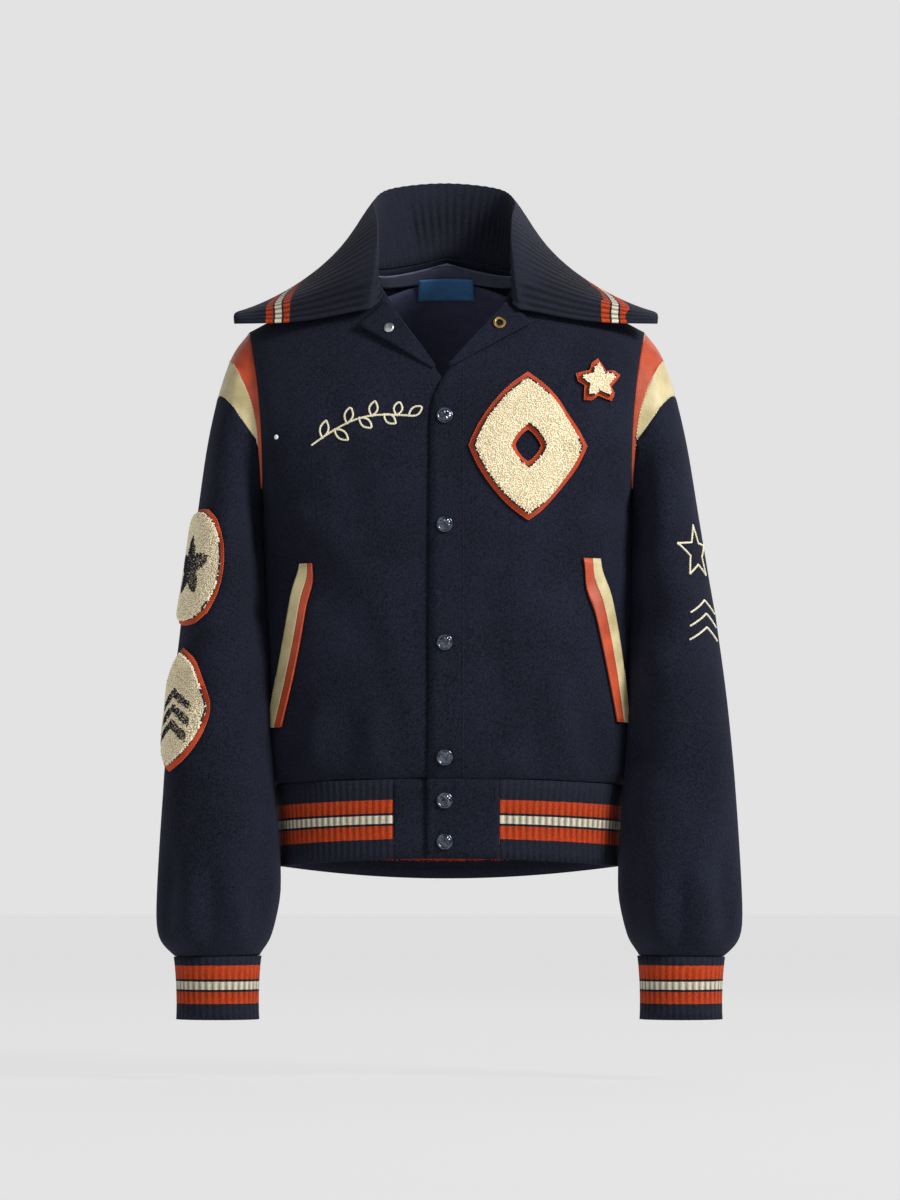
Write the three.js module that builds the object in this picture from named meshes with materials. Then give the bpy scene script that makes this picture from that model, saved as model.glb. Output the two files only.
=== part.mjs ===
// A varsity jacket that keeps its worn form with nobody inside.
// Millimetres. +Z is up, -Y is the front and +X is the wearer's left.
// The origin is on the middle line at the height of the side neck points, where the shoulders carry it.
import * as THREE from 'three';

// Cloth walls
const WOOL = 2.2;
const LEATHER = 1.6;
const KNIT = 1.6;
const LINING = 1.0;
const FELT = 1.2;
const CHENILLE = 2.2;
const SEAM_GAP = 0.3;
const REST_GAP = 0.35;
const INNER_GAP = 3.5;

// Rib knit
const RIB_HEIGHT = 1.3;
const WAIST_RIBS = 124;
const CUFF_RIBS = 38;
const COLLAR_RIBS = 62;
const COLUMNS_PER_INNER_FACE = 4;

// Snap front
const PLACKET_EDGE = -19;
const UNDERLAP_EDGE = 14;
const WAIST_TAB_REACH = 50;
const LAP_DEPTH = WOOL + 0.6;
const LAP_START = -40;
const LAP_END = -23;
const SNAP_X = -2;
const SNAP_HEIGHTS = [-158, -262, -374, -483, -523.5, -562.5];
const SNAP_RADIUS = 7.8;

// Waistband heights and widths at its lower edge
const WAIST_HEM = { frontZ: -579, frontY: -104, backZ: -598, backY: 109, half: 164, sideZ: -586 };

// The middle of the two sleeves lies a little to the wearer's left of the body's middle line.
const SLEEVE_SHIFT = 2.4;

const colour = (hex, roughness, metalness = 0) =>
  new THREE.MeshStandardMaterial({ color: hex, roughness, metalness });
const finish = {
  wool: () => colour(0x1d2233, 0.95),
  knit: () => colour(0x171b28, 0.95),
  lining: () => colour(0x1b1c28, 0.8),
  tape: () => colour(0x2d3042, 0.85),
  label: () => colour(0x28558c, 0.7),
  orangeLeather: () => colour(0xc9582f, 0.5),
  creamLeather: () => colour(0xe3dbab, 0.5),
  felt: () => colour(0xcf5227, 0.95),
  chenille: () => colour(0xefdfb6, 1),
  darkChrome: () => colour(0x3a3f4c, 0.25, 0.9),
  brass: () => colour(0x9a7b45, 0.35, 0.9),
  white: () => colour(0xf2f2f2, 0.4),
};

// The body in 14 steps, from the wool's lower edge up to the shoulder seam.
// front and back: height and depth on the middle line. half, sideZ, foreY, aftY: the side seam up to
// the armpit, then the armhole's front and back edge. square: fullness of the arc across the chest.
// slope: how the height runs from the middle line to the edge.
const columns = ['frontZ', 'frontY', 'backZ', 'backY', 'half', 'sideZ', 'foreY', 'aftY', 'square', 'slope'];
const BODY = [
  [-503, -108, -520, 112, 168, -508, 2, 2, 2.5, 2],
  [-491, -114, -507, 118, 175.5, -496, 2, 2, 2.5, 2],
  [-463, -116, -478, 120, 176.5, -468, 2, 2, 2.5, 2],
  [-398, -116, -407, 121, 177, -400, 2, 2, 2.5, 2],
  [-330, -117, -334, 123, 177.5, -332, 2, 2, 2.5, 2],
  [-268, -119, -266, 126, 178, -272, 2, 2, 2.5, 2],
  [-236, -119, -230, 128, 178, -240, 2, 2, 2.5, 2],
  [-204, -118, -190, 129, 178, -228, -38, 40, 2.4, 1.9],
  [-165, -113.5, -148, 128, 177.5, -190, -60, 62, 2.3, 1.8],
  [-119, -105, -104, 124, 179.5, -150, -62, 66, 2.2, 1.6],
  [-72, -93, -58, 117, 183, -115, -54, 60, 2.1, 1.4],
  [-28, -75, -12, 105, 188, -88, -36, 44, 2, 1.2],
  [12, -45, 20, 78, 191, -72, -16, 22, 2, 1.1],
  [38, 8, 38, 8, 192.5, -67, 4, 4, 2, 1],
].map((row) => Object.fromEntries(columns.map((name, k) => [name, row[k]])));
const ARMPIT = 6;
const SHOULDER = 13;
const SIDE_ROWS = [0, 0.6, 1.3, 2.2, 3.2, 4.2, 5.1];
const ARMHOLE_ROWS = [6, 6.6, 7.2, 7.8, 8.4, 9, 9.8, 10.6, 11.4, 12.2, 13];
const BODY_ROWS = [...SIDE_ROWS, ...ARMHOLE_ROWS];

// Free front edges, as the x at each height: the underlap, and the top front with its placket.
const UNDER_EDGE = [[-700, 14], [-134, 14], [-119, -6], [-38, -59], [-16, -69], [-1.8, -73], [60, -73]];
const TOP_EDGE = [[-700, -19], [-140, -16], [-119, -5], [-84, 26], [-57, 46], [-41, 60], [-16, 69.5],
  [-1.8, 73], [60, 73]];
const NECK_HALF = 73;
const NECK_BACK = 77;
const NECK_Y = 7.7;

// Sleeve rings below the armhole: the outer and the inner point, the middle's depth, half the depth.
const ringColumns = ['outX', 'outZ', 'inX', 'inZ', 'y', 'deep'];
const SLEEVE_RINGS = [
  [205, -83, 180.8, -243, 1, 64.5],
  [213.5, -102, 181.5, -247, 0, 66.5],
  [220, -122, 182, -252, -1, 68],
  [225, -141, 182.3, -258, -3, 69.5],
  [233, -178, 182.6, -270, -7, 70.5],
  [240.5, -232, 180.3, -292, -13, 70],
  [251.5, -308, 178.4, -332, -23, 67.5],
  [260.5, -367, 176.8, -377, -31, 65],
  [268, -428, 175.2, -431, -38, 63],
  [273.5, -492, 172.6, -493, -46, 61],
  [278, -560, 165.5, -560, -50, 61.5],
  [281.5, -628, 165, -628, -51, 61.5],
  [282.5, -650, 166.5, -650, -51, 59],
  [272, -664, 176, -663, -51, 48],
  [262.5, -672, 181, -671, -51, 40],
].map((row) => Object.fromEntries(ringColumns.map((name, k) => [name, row[k]])));
const CUFF = { outX: 260, inX: 183, y: -51, deep: 37, z: -732 };
const SLEEVE_ROWS = [0, 0.04, 0.1, 0.18, 0.28, 0.39, 0.51, 0.64, 0.77, 0.88, 0.95, 0.98, 1];

// Leather on the shoulder: widths below the armhole seam, by the way round from top (0) to armpit (1)
const CAP_WIDTH = [[0, 37], [0.44, 5.5], [0.86, 1.6], [1, 1.6]];
const BAND_WIDTH = [[0, 78], [0.3, 44], [0.577, 5.7], [1, 5.7]];
const CAP_COLUMNS = 8;
const BAND_COLUMNS = 6;

const vector = (x, y, z) => new THREE.Vector3(x, y, z);
const mix = (a, b, part) => a + (b - a) * part;
const clamp = (value, low, high) => Math.max(low, Math.min(high, value));
const smooth = (value) => {
  const part = clamp(value, 0, 1);
  return part * part * (3 - 2 * part);
};
function nextPlace(keys, key) {
  const found = keys.findIndex((value) => value > key);
  return found < 0 ? keys.length - 1 : Math.max(found, 1);
}
function lookUp(table, key) {
  const next = nextPlace(table.map((row) => row[0]), key);
  const [low, high] = [table[next - 1], table[next]];
  return mix(low[1], high[1], clamp((key - low[0]) / (high[0] - low[0]), 0, 1));
}
function catmull(a, b, c, d, part) {
  const square = part * part;
  return 0.5 * (2 * b + (c - a) * part + (2 * a - 5 * b + 4 * c - d) * square
    + (3 * b - a - 3 * c + d) * square * part);
}

// A body section at any step. The armpit parts the table, so that the side seam stays straight.
function sectionAt(step) {
  const low = clamp(Math.floor(step), 0, SHOULDER - 1);
  const first = step < ARMPIT ? 0 : ARMPIT;
  const last = step < ARMPIT ? ARMPIT : SHOULDER;
  const at = (k, name) => BODY[clamp(k, first, last)][name];
  const value = (name) =>
    catmull(at(low - 1, name), at(low, name), at(low + 1, name), at(low + 2, name), step - low);
  return Object.fromEntries(columns.map((name) => [name, value(name)]));
}
// The sides hang a little to the wearer's left below the armholes, as the sleeves do.
const sideLean = (section) => SLEEVE_SHIFT * smooth((section.sideZ + 240) / -90);
function sectionPoint(section, face, turn) {
  const [middleZ, middleY, edgeY] = face === 'front'
    ? [section.frontZ, section.frontY, section.foreY]
    : [section.backZ, section.backY, section.aftY];
  const power = 2 / section.square;
  const reach = Math.sin(Math.abs(turn)) ** power;
  const depth = Math.max(0, Math.cos(turn)) ** power;
  return vector(
    Math.sign(turn) * section.half * reach + sideLean(section) * reach * reach,
    mix(edgeY, middleY, depth),
    mix(middleZ, section.sideZ, reach ** section.slope),
  );
}
const QUARTER = Math.PI / 2;
function turnAt(section, x) {
  const place = x - sideLean(section) * (x / section.half) ** 2;
  return Math.sign(x) * Math.asin(clamp(Math.abs(place) / section.half, 0, 1) ** (section.square / 2));
}
const bodyPoint = (face, step, turn) => sectionPoint(sectionAt(step), face, turn);

// The turn where a section crosses a free edge
function edgeTurn(section, edge) {
  let x = lookUp(edge, section.frontZ);
  for (let pass = 0; pass < 30; pass += 1) {
    x = mix(x, lookUp(edge, sectionPoint(section, 'front', turnAt(section, x)).z), 0.6);
  }
  return turnAt(section, x);
}

// A point on the front or back under a place of the front view, with its outward normal
function bodyAt(face, x, z) {
  const heightAt = (step) => {
    const section = sectionAt(step);
    return sectionPoint(section, face, turnAt(section, x)).z;
  };
  let [low, high] = [0, SHOULDER];
  for (let pass = 0; pass < 30; pass += 1) {
    const middle = (low + high) / 2;
    if (heightAt(middle) < z) low = middle;
    else high = middle;
  }
  const section = sectionAt(low);
  return sectionPoint(section, face, turnAt(section, x));
}
function bodySpot(face, x, z) {
  const point = bodyAt(face, x, z);
  const across = bodyAt(face, x + 1, z).sub(bodyAt(face, x - 1, z));
  const up = bodyAt(face, x, z + 1).sub(bodyAt(face, x, z - 1));
  const normal = across.cross(up).normalize();
  if (face === 'back') normal.negate();
  return { point, normal };
}

// Grids are rows of points. Seen from outside, columns run to the right and rows run up.
const makeGrid = (rows, count, place) =>
  rows.map((row) => Array.from({ length: count }, (_, column) => place(row, column)));

function gridNormals(grid, closed, facing = 1) {
  const count = grid[0].length;
  const rows = grid.length;
  return grid.map((row, i) => row.map((point, j) => {
    const left = closed ? (j + count - 1) % count : Math.max(j - 1, 0);
    const right = closed ? (j + 1) % count : Math.min(j + 1, count - 1);
    const across = row[right].clone().sub(row[left]);
    const up = grid[Math.min(i + 1, rows - 1)][j].clone().sub(grid[Math.max(i - 1, 0)][j]);
    return across.cross(up).multiplyScalar(facing).normalize();
  }));
}

// A closed wall under a grid of outer points.
// Inner points may be fewer across, for ribs over a plain inside.
function wall(outer, normals, thickness, { closed = false, facing = 1, every = 1, hub = null } = {}) {
  const vertices = [];
  const faces = [];
  const add = (point) => vertices.push(point) - 1;
  const quad = (a, b, c, d) => faces.push([a, b, c], [a, c, d]);
  const rows = outer.length;
  const count = outer[0].length;
  const spans = Math.floor((closed ? count : count - 1) / every);
  const out = outer.map((row) => row.map(add));
  const inner = outer.map((row, i) => Array.from({ length: closed ? spans : spans + 1 }, (_, k) => {
    const j = k * every;
    const base = row.plain ? row.plain[j] : row[j];
    return add(base.clone().addScaledVector(normals[i][j], -thickness));
  }));
  const o = (i, j) => out[i][j % count];
  const n = (i, k) => inner[i][k % inner[i].length];
  for (let i = 0; i < rows - 1; i += 1) {
    for (let j = 0; j < (closed ? count : count - 1); j += 1) {
      quad(o(i, j), o(i, j + 1), o(i + 1, j + 1), o(i + 1, j));
    }
    for (let k = 0; k < spans; k += 1) quad(n(i, k), n(i + 1, k), n(i + 1, k + 1), n(i, k + 1));
  }
  const rim = (i, lower) => {
    for (let k = 0; k < spans; k += 1) {
      const half = k * every + Math.floor(every / 2);
      for (let j = k * every; j < (k + 1) * every; j += 1) {
        const near = n(i, j < half ? k : k + 1);
        faces.push(lower ? [o(i, j + 1), o(i, j), near] : [o(i, j), o(i, j + 1), near]);
      }
      faces.push(lower ? [n(i, k), n(i, k + 1), o(i, half)] : [n(i, k + 1), n(i, k), o(i, half)]);
    }
  };
  rim(0, true);
  if (hub) {
    const [top, bottom] = [add(hub.top), add(hub.bottom)];
    for (let j = 0; j < count; j += 1) faces.push([o(rows - 1, j), o(rows - 1, j + 1), top]);
    for (let k = 0; k < spans; k += 1) faces.push([n(rows - 1, k + 1), n(rows - 1, k), bottom]);
  } else {
    rim(rows - 1, false);
  }
  if (!closed) {
    for (let i = 0; i < rows - 1; i += 1) {
      quad(o(i, 0), o(i + 1, 0), n(i + 1, 0), n(i, 0));
      quad(o(i + 1, count - 1), o(i, count - 1), n(i, spans), n(i + 1, spans));
    }
  }
  const geometry = new THREE.BufferGeometry();
  const numbers = vertices.flatMap((point) => point.toArray());
  geometry.setAttribute('position', new THREE.Float32BufferAttribute(numbers, 3));
  geometry.setIndex(faces.flatMap((face) => (facing < 0 ? [face[0], face[2], face[1]] : face)));
  geometry.computeVertexNormals();
  return geometry;
}

// Raise every second column of a fine grid, and keep the plain points for the inside.
function ribbed(grid, normals) {
  return grid.map((row, i) => {
    const raised = row.map((point, j) =>
      (j % 2 ? point.clone().addScaledVector(normals[i][j], RIB_HEIGHT) : point));
    raised.plain = row;
    return raised;
  });
}

const jacket = new THREE.Group();
function addMesh(name, geometry, material) {
  const mesh = new THREE.Mesh(geometry, material);
  mesh.name = name;
  jacket.add(mesh);
  return mesh;
}

// Fronts and back
const LOW_SPACING = [0, 0.074, 0.125, 0.24, 0.37, 0.5, 0.63, 0.76, 0.88, 1];
const FRONT_SPANS = LOW_SPACING.length - 1;
function frontGrid(side, edge) {
  return makeGrid(BODY_ROWS, FRONT_SPANS + 1, (step, column) => {
    const section = sectionAt(step);
    const start = edgeTurn(section, edge);
    const k = side > 0 ? column : FRONT_SPANS - column;
    const even = smooth((step - 9) / 3);
    const part = mix(LOW_SPACING[k], k / FRONT_SPANS, even);
    return sectionPoint(section, 'front', mix(start, side * QUARTER, part));
  });
}
const neckTurn = turnAt(sectionAt(SHOULDER), NECK_HALF);
const NECK_TURNS = [0.96, 0.86, 0.68, 0.38, 0].map((part) => part * neckTurn);
const shoulderTurns = Array.from(
  { length: FRONT_SPANS + 1 },
  (_, k) => mix(QUARTER, neckTurn, k / FRONT_SPANS),
);
const BACK_TURNS = [...shoulderTurns, ...NECK_TURNS];
const backTurns = [...BACK_TURNS, ...BACK_TURNS.slice(0, -1).reverse().map((turn) => -turn)];
function topStep(turn) {
  if (Math.abs(turn) >= neckTurn - 1e-9) return SHOULDER;
  let [low, high] = [ARMPIT + 2, SHOULDER];
  for (let pass = 0; pass < 40; pass += 1) {
    const middle = (low + high) / 2;
    const point = bodyPoint('back', middle, turn);
    const outside = (point.x / NECK_HALF) ** 2 + ((point.y - NECK_Y) / NECK_BACK) ** 2 > 1;
    if (outside) low = middle;
    else high = middle;
  }
  return low;
}
const backGrid = makeGrid(BODY_ROWS, backTurns.length, (step, column) => {
  const turn = backTurns[column];
  const full = topStep(turn);
  const squeezed = step > 9 ? mix(9, full, (step - 9) / (SHOULDER - 9)) : step;
  return bodyPoint('back', squeezed, turn);
});

// Armhole: the way round from the top (0) to the armpit (1), forward positive and backward negative
function armholeLine(face) {
  const fine = [];
  ARMHOLE_ROWS.slice(0, -1).forEach((step, k) => {
    for (let part = 0; part < 12; part += 1) fine.push(mix(step, ARMHOLE_ROWS[k + 1], part / 12));
  });
  fine.push(SHOULDER);
  const points = fine.reverse().map((step) => bodyPoint(face, step, QUARTER));
  const lengths = [0];
  points.slice(1).forEach((point, k) => lengths.push(lengths[k] + point.distanceTo(points[k])));
  const whole = lengths[lengths.length - 1];
  return { points, ways: lengths.map((length) => length / whole) };
}
const armhole = { front: armholeLine('front'), back: armholeLine('back') };
function armholePoint(way) {
  const { points, ways } = armhole[way >= 0 ? 'front' : 'back'];
  const reach = Math.abs(way);
  const next = nextPlace(ways, reach);
  const part = clamp((reach - ways[next - 1]) / (ways[next] - ways[next - 1]), 0, 1);
  return points[next - 1].clone().lerp(points[next], part);
}
const columnWays = (face) => ARMHOLE_ROWS.map((_, k) => armhole[face].ways[k * 12]);
const frontWays = columnWays('front');
const backWays = columnWays('back');
const HALF_COLUMNS = ARMHOLE_ROWS.length - 1;
const wayOf = (column) => (column >= 0 ? frontWays[column] : -backWays[-column]);

// A sleeve line from the armhole down to the cuff, for one way round
function sleeveLine(side, way) {
  const angle = way * Math.PI;
  const points = [armholePoint(way)];
  SLEEVE_RINGS.forEach((ring) => {
    const along = Math.cos(angle);
    points.push(vector(
      mix((ring.outX + ring.inX) / 2, ring.outX, along),
      ring.y - ring.deep * Math.sin(angle),
      mix((ring.outZ + ring.inZ) / 2, ring.outZ, along),
    ));
  });
  points.forEach((point, k) => {
    point.x = side * point.x + SLEEVE_SHIFT * smooth((k - 4) / 5);
  });
  return new THREE.CatmullRomCurve3(points, false, 'centripetal');
}
const sleeveLines = new Map();
function sleevePoint(side, way, length) {
  const key = `${side} ${way}`;
  if (!sleeveLines.has(key)) sleeveLines.set(key, sleeveLine(side, way));
  const line = sleeveLines.get(key);
  return line.getPointAt(clamp(length / line.getLength(), 0, 1));
}
const sleeveLength = (side, way) => {
  sleevePoint(side, way, 0);
  return sleeveLines.get(`${side} ${way}`).getLength();
};
const capWidth = (way) => lookUp(CAP_WIDTH, Math.abs(way));
const bandWidth = (way) => Math.max(lookUp(BAND_WIDTH, Math.abs(way)), capWidth(way) + 1.4);
function sleeveTop(column) {
  const way = wayOf(column);
  if (Math.abs(column) <= BAND_COLUMNS) return bandWidth(way);
  return Math.abs(column) <= CAP_COLUMNS ? capWidth(way) : 0;
}

// A sleeve grid between two widths. Columns run from the back to the front, rows from the armhole down.
function sleeveGrid(side, reach, rows, lowAt, highAt) {
  const list = Array.from({ length: reach * 2 + 1 }, (_, k) => k - reach);
  return rows.map((part) => list.map((column) => {
    const length = mix(lowAt(column), highAt(column), part);
    return sleevePoint(side, wayOf(column), length);
  }));
}
function wholeSleeveGrid(side) {
  const list = Array.from({ length: HALF_COLUMNS * 2 }, (_, k) => k - HALF_COLUMNS + 1);
  return SLEEVE_ROWS.map((part) => list.map((column) => {
    const way = wayOf(column);
    return sleevePoint(side, way, mix(sleeveTop(column), sleeveLength(side, way), part));
  }));
}

// Every cloth piece that meets another at a seam
const THIRDS = [0, 0.33, 0.66, 1];
const cloth = [
  { name: 'front_right', grid: frontGrid(-1, UNDER_EDGE), thickness: WOOL, finish: finish.wool },
  { name: 'front_left', grid: frontGrid(1, TOP_EDGE), thickness: WOOL, finish: finish.wool },
  { name: 'back', grid: backGrid, thickness: WOOL, finish: finish.wool },
];
[[-1, 'right'], [1, 'left']].forEach(([side, name]) => {
  const capAt = (column) => capWidth(wayOf(column));
  const bandAt = (column) => bandWidth(wayOf(column));
  cloth.push(
    { name: `shoulder_cap_${name}`, facing: side, thickness: LEATHER, finish: finish.orangeLeather,
      grid: sleeveGrid(side, CAP_COLUMNS, THIRDS, () => 0, capAt) },
    { name: `shoulder_band_${name}`, facing: side, thickness: LEATHER, finish: finish.creamLeather,
      grid: sleeveGrid(side, BAND_COLUMNS, THIRDS, capAt, bandAt) },
    { name: `sleeve_${name}`, facing: side, thickness: WOOL, finish: finish.wool, closed: true,
      grid: wholeSleeveGrid(side) },
  );
});

// Normals that neighbours share along a seam, so that their walls meet in a mitre
cloth.forEach((piece) => { piece.normals = gridNormals(piece.grid, piece.closed, piece.facing ?? 1); });
function boundary(piece) {
  const rows = piece.grid.length;
  const count = piece.grid[0].length;
  const places = [];
  for (let i = 0; i < rows; i += 1) {
    for (let j = 0; j < count; j += 1) {
      const side = !piece.closed && (j === 0 || j === count - 1);
      if (i === 0 || i === rows - 1 || side) places.push([i, j]);
    }
  }
  return places;
}
const SAME_PLACE = 0.02;
const OPPOSED = -0.3;
const rims = cloth.flatMap((piece) => boundary(piece).map(([i, j]) => ({ piece, i, j })));
const own = rims.map(({ piece, i, j }) => piece.normals[i][j].clone());
rims.forEach((rim, k) => {
  const here = rim.piece.grid[rim.i][rim.j];
  const sum = vector(0, 0, 0);
  rims.forEach((other, m) => {
    const apart = other.piece.grid[other.i][other.j].distanceTo(here);
    if (apart < SAME_PLACE && own[m].dot(own[k]) > OPPOSED) sum.add(own[m]);
  });
  rim.piece.normals[rim.i][rim.j] = sum.normalize();
});

// Seams: each edge draws back by half the gap.
function drawBack(piece) {
  const { grid } = piece;
  const rows = grid.length;
  const count = grid[0].length;
  const copy = grid.map((row) => row.map((point) => point.clone()));
  const shift = (i, j, towards) => {
    const way = towards.clone().sub(grid[i][j]).setLength(SEAM_GAP / 2);
    copy[i][j].add(way);
  };
  for (let j = 0; j < count; j += 1) {
    shift(0, j, grid[1][j]);
    shift(rows - 1, j, grid[rows - 2][j]);
  }
  if (!piece.closed) {
    for (let i = 0; i < rows; i += 1) {
      shift(i, 0, grid[i][1]);
      shift(i, count - 1, grid[i][count - 2]);
    }
  }
  return copy;
}

// The underlap sinks behind the top front.
const LAP_TOP = -88;
const LAP_FADE = 22;
const lapSink = (x, z) => LAP_DEPTH * smooth((x - LAP_START) / (LAP_END - LAP_START))
  * smooth((LAP_TOP - z) / LAP_FADE);
cloth.forEach((piece) => {
  const outer = drawBack(piece);
  if (piece.name === 'front_right') {
    outer.forEach((row, i) => row.forEach((point, j) => {
      point.addScaledVector(piece.normals[i][j], -lapSink(point.x, point.z));
    }));
  }
  piece.outer = outer;
  const { closed, facing } = piece;
  addMesh(piece.name, wall(outer, piece.normals, piece.thickness, { closed, facing }), piece.finish());
});

// Waistband: a section that runs from the wool's lower edge to the hem
const WAIST_LEVELS = [0, 0.5, 1];
const WAIST_PULL = 1.6;
function waistSection(level, pull = 0) {
  const top = BODY[0];
  return {
    ...top,
    frontZ: mix(WAIST_HEM.frontZ, top.frontZ - SEAM_GAP, level),
    frontY: mix(WAIST_HEM.frontY, top.frontY, level) + pull,
    backZ: mix(WAIST_HEM.backZ, top.backZ - SEAM_GAP, level),
    backY: mix(WAIST_HEM.backY, top.backY, level) - pull,
    half: mix(WAIST_HEM.half, top.half, level) - pull,
    sideZ: mix(WAIST_HEM.sideZ, top.sideZ - SEAM_GAP, level),
  };
}
function waistLoop(section, startX, endX) {
  const points = [];
  const steps = 120;
  const start = turnAt(section, startX);
  const end = turnAt(section, endX);
  const run = (face, from, to, last) => {
    for (let k = 0; k < last; k += 1) points.push(sectionPoint(section, face, mix(from, to, k / steps)));
  };
  run('front', start, QUARTER, steps);
  run('back', QUARTER, 0, steps);
  run('back', 0, -QUARTER, steps);
  run('front', -QUARTER, end, steps + 1);
  return new THREE.CatmullRomCurve3(points, false, 'centripetal');
}
const waistGrid = WAIST_LEVELS.map((level) => {
  const section = waistSection(level, WAIST_PULL * Math.sin(Math.PI * level));
  const loop = waistLoop(section, WAIST_TAB_REACH + SEAM_GAP / 2, -WAIST_TAB_REACH - 1);
  loop.arcLengthDivisions = 1200;
  return Array.from({ length: WAIST_RIBS * 2 + 1 }, (_, k) => loop.getPointAt(k / WAIST_RIBS / 2));
});
const waistNormals = gridNormals(waistGrid, false);
const plainInside = { every: COLUMNS_PER_INNER_FACE };
addMesh('waist_rib', wall(ribbed(waistGrid, waistNormals), waistNormals, KNIT, plainInside), finish.knit());

// Plain wool tabs at the front of the waistband
function tabGrid(places) {
  return WAIST_LEVELS.map((level) => {
    const section = waistSection(level);
    return places.map((x) => sectionPoint(section, 'front', turnAt(section, x)));
  });
}
const TAB_THICKNESS = WOOL + 0.2;
const tabTop = tabGrid([PLACKET_EDGE, -2, 16, 33, WAIST_TAB_REACH - SEAM_GAP / 2]);
addMesh('waist_tab_left', wall(tabTop, gridNormals(tabTop, false), TAB_THICKNESS), finish.wool());
const tabUnder = tabGrid([-WAIST_TAB_REACH - 0.7, LAP_START, -31, LAP_END, -4, UNDERLAP_EDGE]);
const tabNormals = gridNormals(tabUnder, false);
tabUnder.forEach((row, i) => row.forEach((point, j) => {
  point.addScaledVector(tabNormals[i][j], -1.1 * lapSink(point.x, point.z));
}));
addMesh('waist_tab_right', wall(tabUnder, tabNormals, TAB_THICKNESS), finish.wool());

// Cuffs
[[-1, 'right'], [1, 'left']].forEach(([side, name]) => {
  const top = SLEEVE_RINGS[SLEEVE_RINGS.length - 1];
  const grid = WAIST_LEVELS.map((level) => {
    const pull = 1.2 * Math.sin(Math.PI * level);
    const outX = mix(CUFF.outX, top.outX, level) - pull;
    const inX = mix(CUFF.inX, top.inX, level) + pull;
    const deep = mix(CUFF.deep, top.deep, level) - pull;
    return Array.from({ length: CUFF_RIBS * 2 }, (_, k) => {
      const angle = -(k / CUFF_RIBS) * Math.PI;
      const x = (outX + inX) / 2 + Math.cos(angle) * (outX - inX) / 2;
      const z = mix(CUFF.z, mix(top.inZ, top.outZ, (1 + Math.cos(angle)) / 2) - SEAM_GAP, level);
      return vector(side * x + SLEEVE_SHIFT, mix(CUFF.y, top.y, level) + Math.sin(angle) * -deep, z);
    });
  });
  const normals = gridNormals(grid, true, side);
  addMesh(`cuff_${name}`, wall(ribbed(grid, normals), normals, KNIT,
    { closed: true, facing: side, every: COLUMNS_PER_INNER_FACE }), finish.knit());
});

// The collar: one rib-knit strip that stands up from the neck seam and folds over, wide at the front.
// Its stations run from the front end (0) to the middle of the back (1), along the neck seam.
const stationColumns = ['way', 'rollX', 'rollY', 'rollZ', 'edgeX', 'edgeY', 'edgeZ', 'crown'];
const COLLAR_STATIONS = [
  [0, 72, -88, -54, 204, -52, -63, -5],
  [0.13, 67, -79, -21, 204, -34, -53, -4],
  [0.28, 65, -48, 14, 196, 0, -46, -5],
  [0.45, 66, -8, 44, 178, 42, -38, -5],
  [0.62, 69, 44, 66, 142, 84, -26, -6],
  [0.8, 53, 86, 84, 90, 124, -8, -1],
  [1, 0, 105, 92, 0, 140, 0, 3],
].map((row) => Object.fromEntries(stationColumns.map((name, k) => [name, row[k]])));
const COLLAR_END_Z = -41;
const COLLAR_LEAN = -2.5;
const COLLAR_ROWS = [0, 1 / 6, 2 / 6, 3 / 6, 4 / 6, 4.5 / 6, 5 / 6, 5.5 / 6, 1];
const COLLAR_SEAM_LIFT = 1.3;

function collarStation(way) {
  const next = nextPlace(COLLAR_STATIONS.map((station) => station.way), way);
  const last = COLLAR_STATIONS.length - 1;
  const beyond = COLLAR_STATIONS[last - 1];
  const mirrored = { ...beyond, rollX: -beyond.rollX, edgeX: -beyond.edgeX };
  const at = (k) => (k > last ? mirrored : COLLAR_STATIONS[Math.max(k, 0)]);
  const part = clamp((way - at(next - 1).way) / (at(next).way - at(next - 1).way), 0, 1);
  return Object.fromEntries(stationColumns.map((name) =>
    [name, catmull(at(next - 2)[name], at(next - 1)[name], at(next)[name], at(next + 1)[name], part)]));
}
const neckHalf = [];
for (let step = 9.5; step < SHOULDER; step += 0.1) {
  const section = sectionAt(step);
  const point = sectionPoint(section, 'front', edgeTurn(section, TOP_EDGE));
  if (point.z > COLLAR_END_Z) neckHalf.push(point);
}
const BACK_NECK_STEPS = 20;
for (let k = BACK_NECK_STEPS; k >= 0; k -= 1) {
  const turn = neckTurn * (k / BACK_NECK_STEPS);
  neckHalf.push(bodyPoint('back', topStep(turn), turn));
}
neckHalf[neckHalf.length - 1].x = 0;
const neckLine = new THREE.CatmullRomCurve3(neckHalf, false, 'centripetal');

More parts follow.
